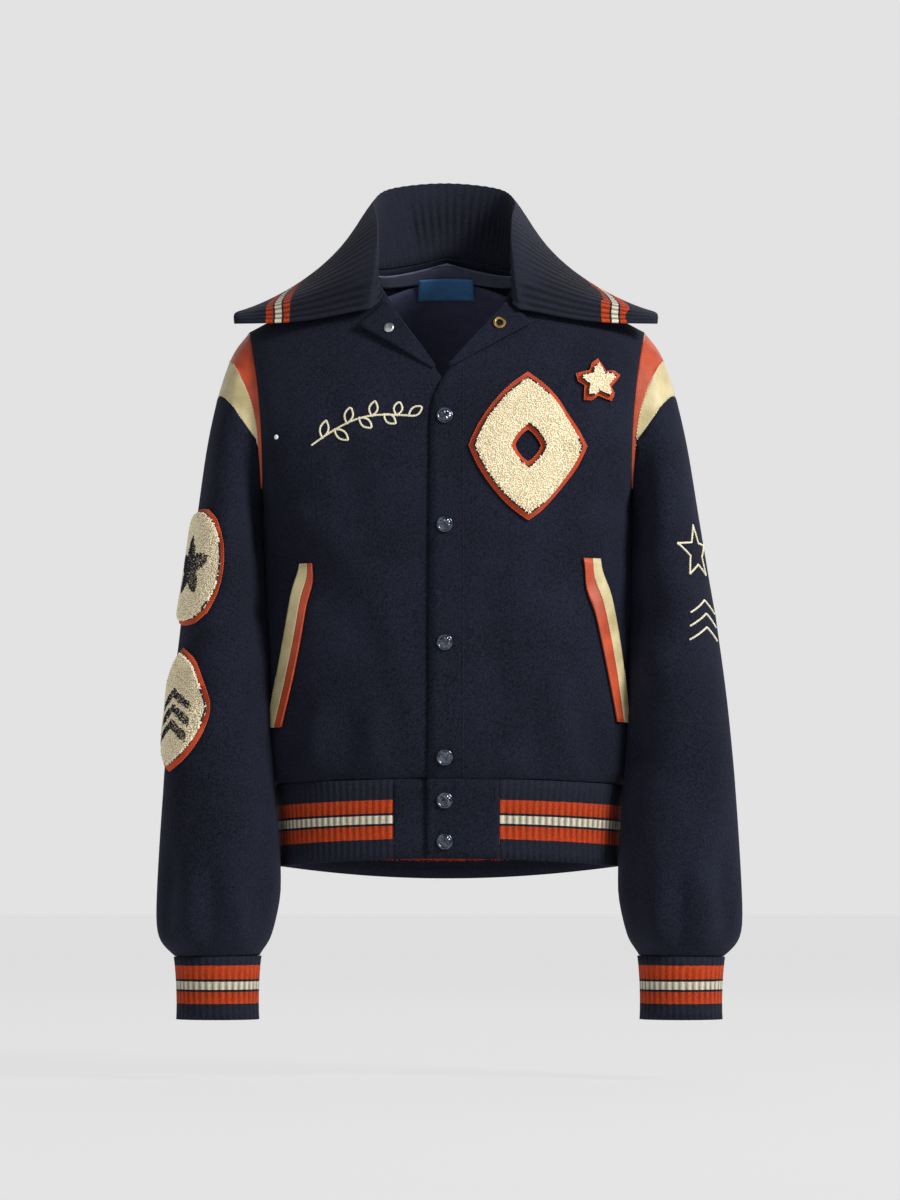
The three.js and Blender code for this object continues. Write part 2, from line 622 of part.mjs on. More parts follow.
// Keeps a point at least so far outside the body
function clearOfBody(point, distance) {
  const x = clamp(Math.abs(point.x), 0, 190);
  const ridge = mix(BODY[SHOULDER].frontZ, BODY[SHOULDER].sideZ, x / BODY[SHOULDER].half);
  if (point.z > ridge + distance * 1.5) return point;
  const face = point.y < NECK_Y ? 'front' : 'back';
  const spot = bodySpot(face, Math.sign(point.x || 1) * x, Math.min(point.z, ridge - 1));
  const depth = point.clone().sub(spot.point).dot(spot.normal);
  return depth < distance ? point.addScaledVector(spot.normal, distance - depth) : point;
}
function collarProfile(signed) {
  const way = 1 - Math.abs(signed);
  const side = signed < 0 ? -1 : 1;
  const station = collarStation(way);
  const seam = neckLine.getPointAt(way);
  const centre = vector(0, NECK_Y, seam.z);
  const inward = centre.sub(seam).setZ(0).normalize();
  seam.addScaledVector(inward, 0.4).add(vector(0, 0, COLLAR_SEAM_LIFT));
  const roll = vector(station.rollX, station.rollY, station.rollZ);
  const edge = vector(station.edgeX, station.edgeY, station.edgeZ);
  const out = edge.clone().sub(roll).setZ(0).normalize();
  const stand = seam.clone().lerp(roll, 0.5).addScaledVector(inward, 2);
  const rollIn = roll.clone().lerp(seam, Math.min(0.3, 7 / roll.distanceTo(seam))).addScaledVector(out, -3);
  const rollOut = roll.clone().lerp(edge, 8 / roll.distanceTo(edge)).addScaledVector(out, 2);
  const fall = roll.clone().lerp(edge, 0.5).addScaledVector(out, station.crown * 0.5)
    .add(vector(0, 0, station.crown));
  const points = [seam, stand, rollIn, roll, rollOut, fall, edge];
  points.forEach((point, k) => {
    const lean = k < 2 ? 0 : COLLAR_LEAN * (k < points.length - 1 ? 1 : 0.4);
    point.x = Math.max(point.x, 0) * side + lean;
  });
  return new THREE.CatmullRomCurve3(points, false, 'centripetal');
}
const collarProfiles = Array.from(
  { length: COLLAR_RIBS * 2 + 1 },
  (_, k) => collarProfile(k / COLLAR_RIBS - 1),
);
const collarGrid = COLLAR_ROWS.map((part, row) => collarProfiles.map((profile, k) => {
  const way = 1 - Math.abs(k / COLLAR_RIBS - 1);
  const nearSeam = mix(KNIT + 0.9, 0.2, smooth(way / 0.35));
  return clearOfBody(profile.getPoint(part), row > 1 ? KNIT + 1.6 : nearSeam);
}));
const collarNormals = gridNormals(collarGrid, false);
addMesh('collar', wall(ribbed(collarGrid, collarNormals), collarNormals, KNIT, plainInside), finish.knit());

// Turned-out corners of the front edges, below the collar's ends
const LAPEL_ROOT = [-5.5, -116];
const LAPELS = {
  right: { side: -1, top: [-56, -46], corner: [-83, -71], stud: [0.75, 0.56] },
  left: { side: 1, top: [56, -47], corner: [81, -68], stud: [0.775, 0.39] },
};
const LAPEL_RISE = 3.2;
function lapelSpot(lapel, along, across) {
  const line = (k) => mix(LAPEL_ROOT[k], mix(lapel.top[k], lapel.corner[k], across), along);
  const [x, z] = [line(0), line(1)];
  const { point, normal } = bodySpot('front', x, z);
  const sink = lapel.side < 0 ? lapSink(x, z) : 0;
  point.addScaledVector(normal, REST_GAP + WOOL + LAPEL_RISE * across * along - sink);
  return { point, normal };
}
Object.entries(LAPELS).forEach(([name, lapel]) => {
  const across = lapel.side < 0 ? [1, 0.66, 0.33, 0] : [0, 0.33, 0.66, 1];
  const rows = [0.1, 0.28, 0.46, 0.64, 0.82, 1];
  const spots = rows.map((along) => across.map((part) => lapelSpot(lapel, along, part)));
  const grid = spots.map((row) => row.map((spot) => spot.point));
  addMesh(`lapel_${name}`, wall(grid, gridNormals(grid, false), WOOL), finish.wool());
});

// Inside the back: the neck facing, the lining that shows through the neck, and a blank label
function innerGrid(turns, steps, offset) {
  const base = steps.map((row) => turns.map((turn) => bodyPoint('back', row(turn), turn)));
  const normals = gridNormals(base, false);
  const grid = base.map((row, i) => row.map((point, j) =>
    point.clone().addScaledVector(normals[i][j], -offset)));
  return { grid, normals: normals.map((row) => row.map((normal) => normal.clone().negate())) };
}
const FACING_TOP = 0.07;
const FACING_MIDDLE = 0.32;
const FACING_DEPTH = 0.57;
const facingTurns = [0.97, 0.86, 0.68, 0.38, 0, -0.38, -0.68, -0.86, -0.97].map((part) => part * neckTurn);
const facingSteps = [FACING_DEPTH, FACING_MIDDLE, FACING_TOP].map((drop) => (turn) => topStep(turn) - drop);
const facing = innerGrid(facingTurns, facingSteps,
  WOOL + INNER_GAP + LINING);
addMesh('neck_facing', wall(facing.grid, facing.normals, LINING, { facing: -1 }), finish.tape());
const liningTurns = [60, 48, 36, 24, 12, 0, -12, -24, -36, -48, -60]
  .map((degrees) => THREE.MathUtils.degToRad(degrees));
const liningTop = (turn) => Math.min(topStep(turn), 12) - LINING_DROP;
const LINING_DROP = 0.6;
const LINING_STEPS = [6.4, 7.4, 8.4, 9.4, 10.1, 10.6];
const lining = innerGrid(liningTurns, LINING_STEPS.map((step) => () => step).concat([liningTop]),
  WOOL + INNER_GAP + LINING);
addMesh('lining_back', wall(lining.grid, lining.normals, LINING, { facing: -1 }), finish.lining());
const LABEL_GAP = 2.8;
const LABEL = { left: -31, right: 29, top: 0.5, bottom: -22 };
const labelSpots = [LABEL.bottom, (LABEL.bottom + LABEL.top) / 2, LABEL.top].map((z) =>
  [1, 0.75, 0.5, 0.25, 0].map((part) => bodySpot('back', mix(LABEL.left, LABEL.right, part), z)));
const labelNormals = labelSpots.map((row) => row.map(({ normal }) => normal.clone().negate()));
const labelGrid = labelSpots.map((row) => row.map(({ point, normal }) =>
  point.clone().addScaledVector(normal, -(WOOL + INNER_GAP + LABEL_GAP + LINING * 2))));
addMesh('neck_label', wall(labelGrid, labelNormals, LINING * 0.8, { facing: -1 }), finish.label());

// Pocket welts: the line between the two leathers, and the width of each, from the top down
const WELT_THICKNESS = 1.8;
const WELT_LIFT = 0.7;
const WELTS = {
  right: {
    heights: [-298, -361, -453], line: [-133.5, -144.5, -161], before: [7.8, 9.3, 7], after: [5, 6, 6],
  },
  left: {
    heights: [-293, -368, -448], line: [137.5, 153.5, 165], before: [8.5, 8.5, 5.5], after: [8.5, 8, 5],
  },
};
function weltGrid(welt, strip) {
  const rows = [1, 0.86, 0.72, 0.58, 0.44, 0.3, 0.15, 0];
  const along = (values, part) => {
    const [a, b, c] = values;
    return mix(mix(a, b, part * 2), mix(b, c, part * 2 - 1), part);
  };
  return rows.map((part) => {
    const z = mix(welt.heights[0], welt.heights[2], part);
    const line = along(welt.line, part);
    const [start, end] = strip === 'before'
      ? [line - along(welt.before, part), line - SEAM_GAP / 2]
      : [line + SEAM_GAP / 2, line + along(welt.after, part)];
    return [start, (start + end) / 2, end].map((x) => {
      const { point, normal } = bodySpot('front', x, z);
      return point.addScaledVector(normal, WELT_LIFT + WELT_THICKNESS);
    });
  });
}
Object.entries(WELTS).forEach(([name, welt]) => {
  ['before', 'after'].forEach((strip) => {
    const grid = weltGrid(welt, strip);
    const cream = (strip === 'before') === (name === 'right');
    const leather = cream ? 'cream' : 'orange';
    addMesh(`pocket_welt_${leather}_${name}`, wall(grid, gridNormals(grid, false), WELT_THICKNESS),
      cream ? finish.creamLeather() : finish.orangeLeather());
  });
});

// Turned metal: a profile from the axis outwards and back, set on a spot
function turned(name, profile, segments, { point, normal }, lift, material) {
  const outline = profile.map(([radius, height]) => new THREE.Vector2(radius, height));
  const geometry = new THREE.LatheGeometry(outline, segments);
  const mesh = addMesh(name, geometry, material);
  mesh.position.copy(point).addScaledVector(normal, lift);
  mesh.quaternion.setFromUnitVectors(vector(0, 1, 0), normal);
}
const domeProfile = (radius, height) => [
  [0, 0], [radius, 0], [radius, height * 0.3], [radius * 0.72, height * 0.8], [0, height],
];
function tabSpot(x, z) {
  const section = waistSection((z - WAIST_HEM.frontZ) / (BODY[0].frontZ - WAIST_HEM.frontZ));
  return { point: sectionPoint(section, 'front', turnAt(section, x)), normal: vector(0, -1, 0) };
}
const SNAP_HEIGHT = 2.6;
const TURNED_SIDES = 12;
const METAL_LIFT = REST_GAP + 0.1;
SNAP_HEIGHTS.forEach((z, k) => {
  const spot = z > BODY[0].frontZ ? bodySpot('front', SNAP_X, z) : tabSpot(SNAP_X, z);
  const profile = domeProfile(SNAP_RADIUS, SNAP_HEIGHT);
  turned(`snap_${k + 1}`, profile, TURNED_SIDES, spot, METAL_LIFT, finish.darkChrome());
});
const STUD_RADIUS = 5;
const RING_PROFILE = [[3.4, 0], [6.2, 0], [6.2, 0.9], [4.8, 1.8], [3.4, 1.1], [3.4, 0]];
const studSpot = lapelSpot(LAPELS.right, ...LAPELS.right.stud);
const socketSpot = lapelSpot(LAPELS.left, ...LAPELS.left.stud);
turned('neck_snap_stud', domeProfile(STUD_RADIUS, 2.4), TURNED_SIDES, studSpot, METAL_LIFT, finish.darkChrome());
turned('neck_snap_socket', RING_PROFILE, TURNED_SIDES, socketSpot, METAL_LIFT, finish.brass());
turned('small_stud', domeProfile(2.4, 1.2), 8, bodySpot('front', -162.7, -176.6), REST_GAP, finish.white());

// Chenille patches on felt. An outline gives the reach at each angle, anticlockwise as seen from outside.
function applique(name, outline, count, innerOutline, spotAt, lift, thickness, material) {
  const rows = innerOutline ? [0, 0.33, 0.66, 1] : [0, 0.4, 0.75];
  const angles = Array.from({ length: count }, (_, k) => (k / count) * Math.PI * 2);
  const raise = ({ point, normal }, height) => point.clone().addScaledVector(normal, height);
  const spots = rows.map((part) => angles.map((angle) => {
    const reach = mix(outline(angle), innerOutline ? innerOutline(angle) : 0, part);
    return spotAt(Math.cos(angle) * reach, Math.sin(angle) * reach);
  }));
  const grid = spots.map((row) => row.map((spot) => raise(spot, lift + thickness)));
  const normals = spots.map((row) => row.map((spot) => spot.normal));
  const middle = spotAt(0, 0);
  const hub = innerOutline ? null : { top: raise(middle, lift + thickness), bottom: raise(middle, lift) };
  addMesh(name, wall(grid, normals, thickness, { closed: true, hub }), material);
}
const diamond = (halfWidth, halfHeight, power) => (angle) =>
  (Math.abs(Math.cos(angle) / halfWidth) ** power
    + Math.abs(Math.sin(angle) / halfHeight) ** power) ** (-1 / power);
const starOutline = (tip, notch, tilt) => (angle) => {
  const turn = (((angle - Math.PI / 2 - tilt) / (Math.PI / 5)) % 2 + 2) % 2;
  return mix(tip, notch, turn < 1 ? turn : 2 - turn);
};
const FELT_LIFT = 0.7;
const CHENILLE_LIFT = FELT_LIFT + FELT + 0.5;
const onFront = (centreX, centreZ) => (a, b) => bodySpot('front', centreX + a, centreZ + b);
const chestSpot = onFront(77, -187);
applique('chest_felt', diamond(56, 71, 1.3), 24, diamond(12.5, 15.5, 1.3), chestSpot,
  FELT_LIFT, FELT, finish.felt());
applique('chest_chenille', diamond(51, 65, 1.3), 24, diamond(17, 21, 1.3), chestSpot,
  CHENILLE_LIFT, CHENILLE, finish.chenille());
const STAR_TILT = THREE.MathUtils.degToRad(4);
const starSpot = onFront(144, -124);
applique('star_felt', starOutline(23.5, 12, STAR_TILT), 20, null, starSpot, FELT_LIFT, FELT, finish.felt());
applique('star_chenille', starOutline(18, 8, STAR_TILT), 20, null, starSpot,
  CHENILLE_LIFT, CHENILLE, finish.chenille());

// Two patches down the wearer's right sleeve
function onSleeve(side, centreWay, centreZ) {
  const roundToWay = 1 / (Math.PI * 56);
  const pointAt = (a, z) => {
    const way = centreWay - side * a * roundToWay;
    const whole = sleeveLength(side, way);
    let [low, high] = [0, whole];
    for (let pass = 0; pass < 24; pass += 1) {
      const middle = (low + high) / 2;
      if (sleevePoint(side, way, middle).z > z) low = middle;
      else high = middle;
    }
    return sleevePoint(side, way, low);
  };
  return (a, b) => {
    const point = pointAt(a, centreZ + b);
    const across = pointAt(a + 2, centreZ + b).sub(pointAt(a - 2, centreZ + b));
    const up = pointAt(a, centreZ + b + 2).sub(pointAt(a, centreZ + b - 2));
    return { point, normal: across.cross(up).normalize() };
  };
}
const PATCH_WAY = 0.21;
const upperSpot = onSleeve(-1, PATCH_WAY, -300);
const lowerSpot = onSleeve(-1, PATCH_WAY, -437);
const PATCH_LIFT = 1.1;
const PILE_LIFT = PATCH_LIFT + FELT + 0.9;
[
  ['upper', upperSpot, diamond(50, 57, 2.2), diamond(45.5, 52.5, 2.2)],
  ['lower', lowerSpot, diamond(46, 59, 1.5), diamond(41, 53, 1.5)],
].forEach(([name, spotAt, feltOutline, pileOutline]) => {
  applique(`${name}_patch_felt`, feltOutline, 20, null, spotAt, PATCH_LIFT, FELT, finish.felt());
  applique(`${name}_patch_chenille`, pileOutline, 20, null, spotAt, PILE_LIFT, CHENILLE, finish.chenille());
});

export default jacket;
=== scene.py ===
# %% [markdown]
# A varsity jacket, dressed in Blender
# The jacket is shown worn with nobody inside. Its solids give every panel its place and size. Here each
# panel becomes a finer shell with its cloth, stitching, knit and pile, at the size that the solids give.

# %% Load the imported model
import math

import bmesh
import bpy
import numpy as np
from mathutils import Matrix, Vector
from mathutils.bvhtree import BVHTree


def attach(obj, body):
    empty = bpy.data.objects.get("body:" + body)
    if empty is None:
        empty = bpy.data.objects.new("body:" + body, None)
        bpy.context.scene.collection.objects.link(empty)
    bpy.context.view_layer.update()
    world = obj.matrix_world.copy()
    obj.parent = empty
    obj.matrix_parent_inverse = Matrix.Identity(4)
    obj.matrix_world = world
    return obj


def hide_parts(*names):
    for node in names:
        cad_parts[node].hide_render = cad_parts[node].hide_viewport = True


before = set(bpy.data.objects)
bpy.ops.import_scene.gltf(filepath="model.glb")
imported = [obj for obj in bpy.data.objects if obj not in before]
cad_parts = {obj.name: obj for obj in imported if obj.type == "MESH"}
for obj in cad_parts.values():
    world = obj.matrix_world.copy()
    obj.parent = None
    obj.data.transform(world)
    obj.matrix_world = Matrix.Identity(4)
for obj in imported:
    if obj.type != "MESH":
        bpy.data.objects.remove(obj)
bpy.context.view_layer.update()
MM = 0.001
print("nodes", len(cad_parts))

# %% [markdown]
# The photograph was taken straight from the front with a long lens, from a little below the chest.
# A camera five metres away gives the same flat perspective.

# %% Camera
TARGET = Vector((0.003, 0.0, -0.328))
CAMERA_DISTANCE = 5.0
CAMERA_RISE = math.radians(-3)
camera_data = bpy.data.cameras.new("camera")
camera_data.lens = 154.6
camera_data.sensor_width = 36
camera = bpy.data.objects.new("camera", camera_data)
bpy.context.scene.collection.objects.link(camera)
camera.location = TARGET + CAMERA_DISTANCE * Vector((0, -math.cos(CAMERA_RISE), math.sin(CAMERA_RISE)))
camera.rotation_euler = (math.pi / 2 - CAMERA_RISE, 0, 0)
bpy.context.scene.camera = camera

# %% [markdown]
# A node tree for a material is easier to read as sums. One small class wraps a socket, so that
# mask * 2 + 1 adds its own Math nodes, and one method adds any other node.

# %% Shader helper
class Value:
    def __init__(self, finish, socket):
        self.finish, self.socket = finish, socket

    def math(self, operation, *values):
        return self.finish.add("ShaderNodeMath", {"operation": operation}, dict(enumerate(values)))

    def __add__(self, other):
        return self.math("ADD", self, other)

    def __sub__(self, other):
        return self.math("SUBTRACT", self, other)

    def __mul__(self, other):
        return self.math("MULTIPLY", self, other)

    def above(self, limit):
        return self.math("GREATER_THAN", self, limit)

    def below(self, limit):
        return self.math("LESS_THAN", self, limit)

    def between(self, low, high):
        return self.above(low) * self.below(high)


class Finish:
    def __init__(self, name):
        self.material = bpy.data.materials.new(name)
        self.material.use_nodes = True
        self.nodes = self.material.node_tree.nodes
        self.shader = self.nodes["Principled BSDF"]
        self.place = self.add("ShaderNodeTexCoord", output="Object")

    def add(self, kind, settings=None, values=None, output=0):
        node = self.nodes.new(kind)
        for key, setting in (settings or {}).items():
            setattr(node, key, setting)
        self.fill(node, values or {})
        return Value(self, node.outputs[output])

    def fill(self, node, values):
        for key, value in values.items():
            if isinstance(value, Value):
                self.material.node_tree.links.new(value.socket, node.inputs[key])
            else:
                node.inputs[key].default_value = value

    def noise(self, scale, detail=2, stretch=(1, 1, 1), turn=(0, 0, 0)):
        spot = self.add("ShaderNodeMapping", {"vector_type": "TEXTURE"},
                        {"Vector": self.place, "Scale": stretch, "Rotation": turn})
        return self.add("ShaderNodeTexNoise", values={"Vector": spot, "Scale": scale, "Detail": detail})

    def colour_mix(self, mask, first, second):
        return self.add("ShaderNodeMix", {"data_type": "RGBA"}, {0: mask, 6: first, 7: second}, output=2)

    def spread(self, value, low, high):
        return self.add("ShaderNodeMapRange", values={"Value": value, "To Min": low, "To Max": high,
                                                      "From Min": 0.3, "From Max": 0.7})

    def surface(self, bump=None, strength=0.3, distance=0.0005, **values):
        named = {key.replace("_", " "): value for key, value in values.items()}
        if bump is not None:
            named["Normal"] = self.add("ShaderNodeBump", values={
                "Height": bump, "Strength": strength, "Distance": distance})
        self.fill(self.shader, named)
        return self.material


def srgb(red, green, blue):
    def linear(level):
        part = level / 255
        return part / 12.92 if part <= 0.04045 else ((part + 0.055) / 1.055) ** 2.4
    return (linear(red), linear(green), linear(blue), 1.0)


# %% [markdown]
# Melton wool is woven, then felted and brushed, so its threads drown in a short pile that lies one way.
# One noise stretched along the lie of the pile gives its slant, a fine one gives the fibres, and sheen
# gives the pale rim that a pile has where it turns away.

# %% Wool
TWILL_TURN = math.radians(38)
GRAIN = 1.5


def wool_material(name, dark, light):
    wool = Finish(name)
    pile = wool.noise(850, 3, stretch=(1, 1, 2.2), turn=(0, TWILL_TURN, 0))
    fibre = wool.noise(1700, 2)
    patch = wool.noise(14, 3)
    tone = (pile * 0.62 + fibre * 0.16 + patch * 0.22 - 0.5) * GRAIN + 0.5
    mixed = wool.colour_mix(wool.spread(tone, 0, 1), dark, light)
    return wool.surface(
        bump=pile * 0.8 + fibre * 0.5, strength=0.95, distance=0.0012,
        Base_Color=mixed, Roughness=0.93, Specular_IOR_Level=0.15,
        Sheen_Weight=0.1, Sheen_Roughness=0.5, Sheen_Tint=srgb(120, 126, 160))


wool = wool_material("wool", srgb(7, 9, 17), srgb(33, 36, 53))

# %% [markdown]
# The ribs are real ridges in the mesh, with painted shade in the grooves between them. The stripes are
# knitted in, so they follow the piece's own edge: each knit piece carries a number at every point that runs
# through the three stripes.

# %% Rib knit
STRIPE_LIMITS = {"low orange": (0, 1), "cream": (1.22, 2.0), "high orange": (2.22, 3.22)}


def knit_material():
    knit = Finish("rib_knit")
    across = knit.add("ShaderNodeAttribute", {"attribute_name": "stripe"}, output="Fac")
    across = across + (knit.noise(900, 1) - 0.5) * 0.12
    orange = across.between(*STRIPE_LIMITS["low orange"]) + across.between(*STRIPE_LIMITS["high orange"])
    cream = across.between(*STRIPE_LIMITS["cream"])
    stitch = knit.noise(1100, 2)
    shade = knit.spread(stitch, 0, 1)
    navy = knit.colour_mix(shade, srgb(13, 15, 24), srgb(38, 41, 56))
    warm = knit.colour_mix(shade, srgb(150, 42, 10), srgb(214, 80, 34))
    pale = knit.colour_mix(shade, srgb(196, 186, 160), srgb(240, 232, 210))
    colour = knit.colour_mix(cream, knit.colour_mix(orange, navy, warm), pale)
    painted_groove_shade = knit.add("ShaderNodeAttribute", {"attribute_name": "painted_groove_shade"}, output="Fac")
    # painted shade: the grooves between the ribs are mixed towards near black
    colour = knit.colour_mix(painted_groove_shade * 0.8, colour, srgb(4, 4, 7))
    return knit.surface(
        bump=stitch, strength=0.7, distance=0.0007, Base_Color=colour, Roughness=0.9,
        Specular_IOR_Level=0.15, Sheen_Weight=0.08, Sheen_Roughness=0.5, Sheen_Tint=srgb(150, 150, 170))


knit = knit_material()

# %% [markdown]
# Garment leather has a pebble of small cells with fine lines between them, a soft gloss, and a tone
# that changes slowly. Voronoi distances give the cells, and the lines between are a little darker.

# %% Leather, felt, chenille and the smaller finishes
def leather_material(name, dark, light):
    leather = Finish(name)
    cells = leather.add("ShaderNodeTexVoronoi", {"feature": "F1"}, {"Vector": leather.place, "Scale": 850.0})
    cloud = leather.noise(45, 4)
    grain = leather.noise(1400, 3)
    base = leather.colour_mix(leather.spread(cloud * 0.7 + grain * 0.3, 0, 1), dark, light)
    return leather.surface(
        bump=grain * 0.5 - cells * 0.9 + cloud * 0.8, strength=0.35, distance=0.0006, Base_Color=base,
        Roughness=leather.spread(grain, 0.38, 0.58), Specular_IOR_Level=0.5, Coat_Weight=0.08,
        Coat_Roughness=0.35)


def matted_material(name, dark, light, scale, strength):
    matted = Finish(name)
    pile = matted.noise(scale, 3)
    tone = matted.noise(60, 3)
    base = matted.colour_mix(matted.spread(pile * 0.6 + tone * 0.4, 0, 1), dark, light)
    return matted.surface(
        bump=pile, strength=strength, distance=0.0006, Base_Color=base, Roughness=0.95,
        Specular_IOR_Level=0.12, Sheen_Weight=0.15, Sheen_Roughness=0.5)


def metal_material(name, dark, light, roughness):
    metal = Finish(name)
    wear = metal.noise(260, 3)
    base = metal.colour_mix(metal.spread(wear, 0, 1), dark, light)
    return metal.surface(
        bump=wear, strength=0.08, distance=0.0002, Base_Color=base, Metallic=0.92,
        Roughness=metal.spread(wear, roughness, roughness + 0.14))


def woven_material(name, dark, light, pitch):
    woven = Finish(name)
    threads = [
        woven.add("ShaderNodeTexWave", {"bands_direction": axis, "wave_profile": "SIN"},
                  {"Vector": woven.place, "Scale": pitch, "Distortion": 0.4}, output=1)
        for axis in ("X", "Z")
    ]
    weave = threads[0] * 0.5 + threads[1] * 0.5
    tone = woven.noise(120, 3)
    base = woven.colour_mix(woven.spread(weave * 0.6 + tone * 0.4, 0, 1), dark, light)
    return woven.surface(
        bump=weave, strength=0.4, distance=0.0002, Base_Color=base, Roughness=0.7,
        Sheen_Weight=0.1, Specular_IOR_Level=0.3)


materials = {
    "wool": wool,
    "rib_knit": knit,
    "orange_leather": leather_material("orange_leather", srgb(148, 50, 22), srgb(206, 84, 46)),
    "cream_leather": leather_material("cream_leather", srgb(168, 152, 104), srgb(222, 208, 162)),
    "orange_felt": matted_material("orange_felt", srgb(150, 44, 16), srgb(206, 80, 40), 1300, 0.6),
    "cream_chenille": matted_material("cream_chenille", srgb(176, 156, 116), srgb(232, 214, 176), 1700, 0.9),
    "dark_chrome": metal_material("dark_chrome", srgb(48, 52, 62), srgb(104, 110, 124), 0.1),
    "silver": metal_material("silver", srgb(150, 154, 162), srgb(214, 218, 224), 0.25),
    "brass": metal_material("brass", srgb(120, 92, 50), srgb(190, 156, 96), 0.3),
    # painted light: the facing and the lining keep their blue but are made paler than the cloth, standing in
    # for light that hardly reaches inside the neck
    "facing": woven_material("facing", srgb(68, 73, 96), srgb(102, 108, 132), 700),
    "lining": woven_material("lining", srgb(52, 55, 82), srgb(84, 88, 120), 900),
    "label": woven_material("label", srgb(52, 108, 168), srgb(88, 148, 206), 800),
    "white_stud": metal_material("white_stud", srgb(222, 222, 222), srgb(250, 250, 250), 0.4),
    "thread_navy": matted_material("thread_navy", srgb(10, 11, 20), srgb(30, 33, 50), 2500, 0.3),
    "thread_orange": matted_material("thread_orange", srgb(196, 82, 44), srgb(236, 124, 80), 2500, 0.3),
    "thread_cream": matted_material("thread_cream", srgb(206, 196, 160), srgb(246, 240, 214), 2500, 0.3),
}
materials["white_stud"].node_tree.nodes["Principled BSDF"].inputs["Metallic"].default_value = 0.0
print("materials", len(materials))

# %% [markdown]
# Wool this heavy makes few, broad folds. They are listed one by one as soft ridges and hollows along
# lines of the front view. Every piece on the body or on a sleeve moves by the same rule, so that
# seams, welts and patches stay together. The rule fades out at the armholes and along the snaps.

# %% Folds
# from x, z to x, z in millimetres, half width, height (hollow if negative), front (-1) or back (1)
BODY_FOLDS = [
    (-158, -236, -52, -326, 13, 4.2, -1), (-166, -276, -70, -382, 12, -3.2, -1),
    (158, -236, 56, -318, 13, 4.0, -1), (166, -282, 84, -390, 12, -3.2, -1),
    (-60, -330, -28, -470, 14, 2.4, -1), (40, -340, 64, -470, 14, -2.6, -1),
    (96, -400, 110, -480, 11, 2.6, -1),
    (-128, -498, -116, -430, 9, 4.0, -1), (-98, -500, -92, -446, 9, -3.0, -1),
    (-64, -498, -68, -436, 9, 3.6, -1), (-150, -500, -146, -456, 7, -2.6, -1),
    (60, -498, 64, -440, 9, 3.6, -1), (88, -500, 84, -446, 8, -3.0, -1),
    (118, -498, 110, -430, 9, 4.2, -1), (146, -500, 140, -452, 8, -2.8, -1),
    (-112, -150, -88, -236, 13, -2.8, -1), (122, -150, 104, -250, 13, -2.6, -1),
    (-140, -205, -60, -240, 12, 1.8, 1), (140, -205, 60, -240, 12, 1.8, 1),
    (-90, -505, -84, -440, 10, 2.4, 1), (-40, -505, -42, -450, 10, -2.0, 1),
    (10, -505, 8, -440, 10, 2.4, 1), (60, -505, 58, -450, 10, -2.0, 1), (104, -505, 98, -440, 10, 2.4, 1),
]
SLEEVE_FOLDS = [
    (186, -290, 252, -352, 13, 4.4, -1), (184, -342, 252, -400, 11, -3.4, -1),
    (182, -392, 250, -424, 11, 4.0, -1), (236, -452, 274, -506, 13, 3.4, -1),
    (178, -470, 240, -524, 12, -3.2, -1), (172, -548, 232, -596, 13, 3.6, -1),
    (196, -656, 204, -590, 9, 4.0, -1), (222, -658, 222, -600, 8, -3.2, -1),
    (246, -656, 240, -588, 10, 4.0, -1), (268, -644, 262, -584, 8, -2.8, -1),
    (190, -330, 250, -390, 12, 2.4, 1), (186, -400, 250, -440, 12, -2.2, 1),
    (200, -654, 206, -596, 9, 2.4, 1), (230, -654, 228, -600, 9, -2.0, 1), (256, -650, 252, -596, 9, 2.2, 1),
]
SLEEVE_AXIS_Z = [-740, -650, -560, -490, -430, -370, -320, -260, -180, -60]
SLEEVE_AXIS_X = [221, 224, 224, 224, 222, 220, 216, 211, 205, 196]
SLEEVE_AXIS_Y = [-51, -51, -50, -46, -38, -31, -23, -13, -7, 0]
SNAP_LINE = -2
SNAP_CLEAR = 14
FOLD_DEPTH = 1.35
# heights in millimetres where the folds begin or end
ARMHOLE_END = -212
CHEST_END = -260
WAISTBAND_TOP = -514
LEATHER_END = -262
CUFF_TOP = -672
ARMHOLE_SIDE = 150
# how far body and sleeve are drawn to each other, and the heights between which they are
SIDE_MEET = {"body": 3.0, "sleeve": 4.6}
MEET_TOP = -228
MEET_LOW = -655
MEET_BODY_LOW = -520


def smooth_step(values):
    part = np.clip(values, 0, 1)
    return part * part * (3 - 2 * part)


def fold_height(x, z, facing, folds):
    height = np.zeros(len(x))
    for x0, z0, x1, z1, width, rise, side in folds:
        run = np.array([x1 - x0, z1 - z0], float)
        part = ((x - x0) * run[0] + (z - z0) * run[1]) / (run @ run)
        near = np.clip(part, 0, 1)
        gap = np.hypot(x - x0 - near * run[0], z - z0 - near * run[1])
        taper = 0.35 + 0.65 * np.sin(np.pi * near) if rise > 0 else 1
        height += FOLD_DEPTH * rise * taper * np.exp(-((gap / width) ** 2)) * smooth_step(facing * side * 1.6)
    return height


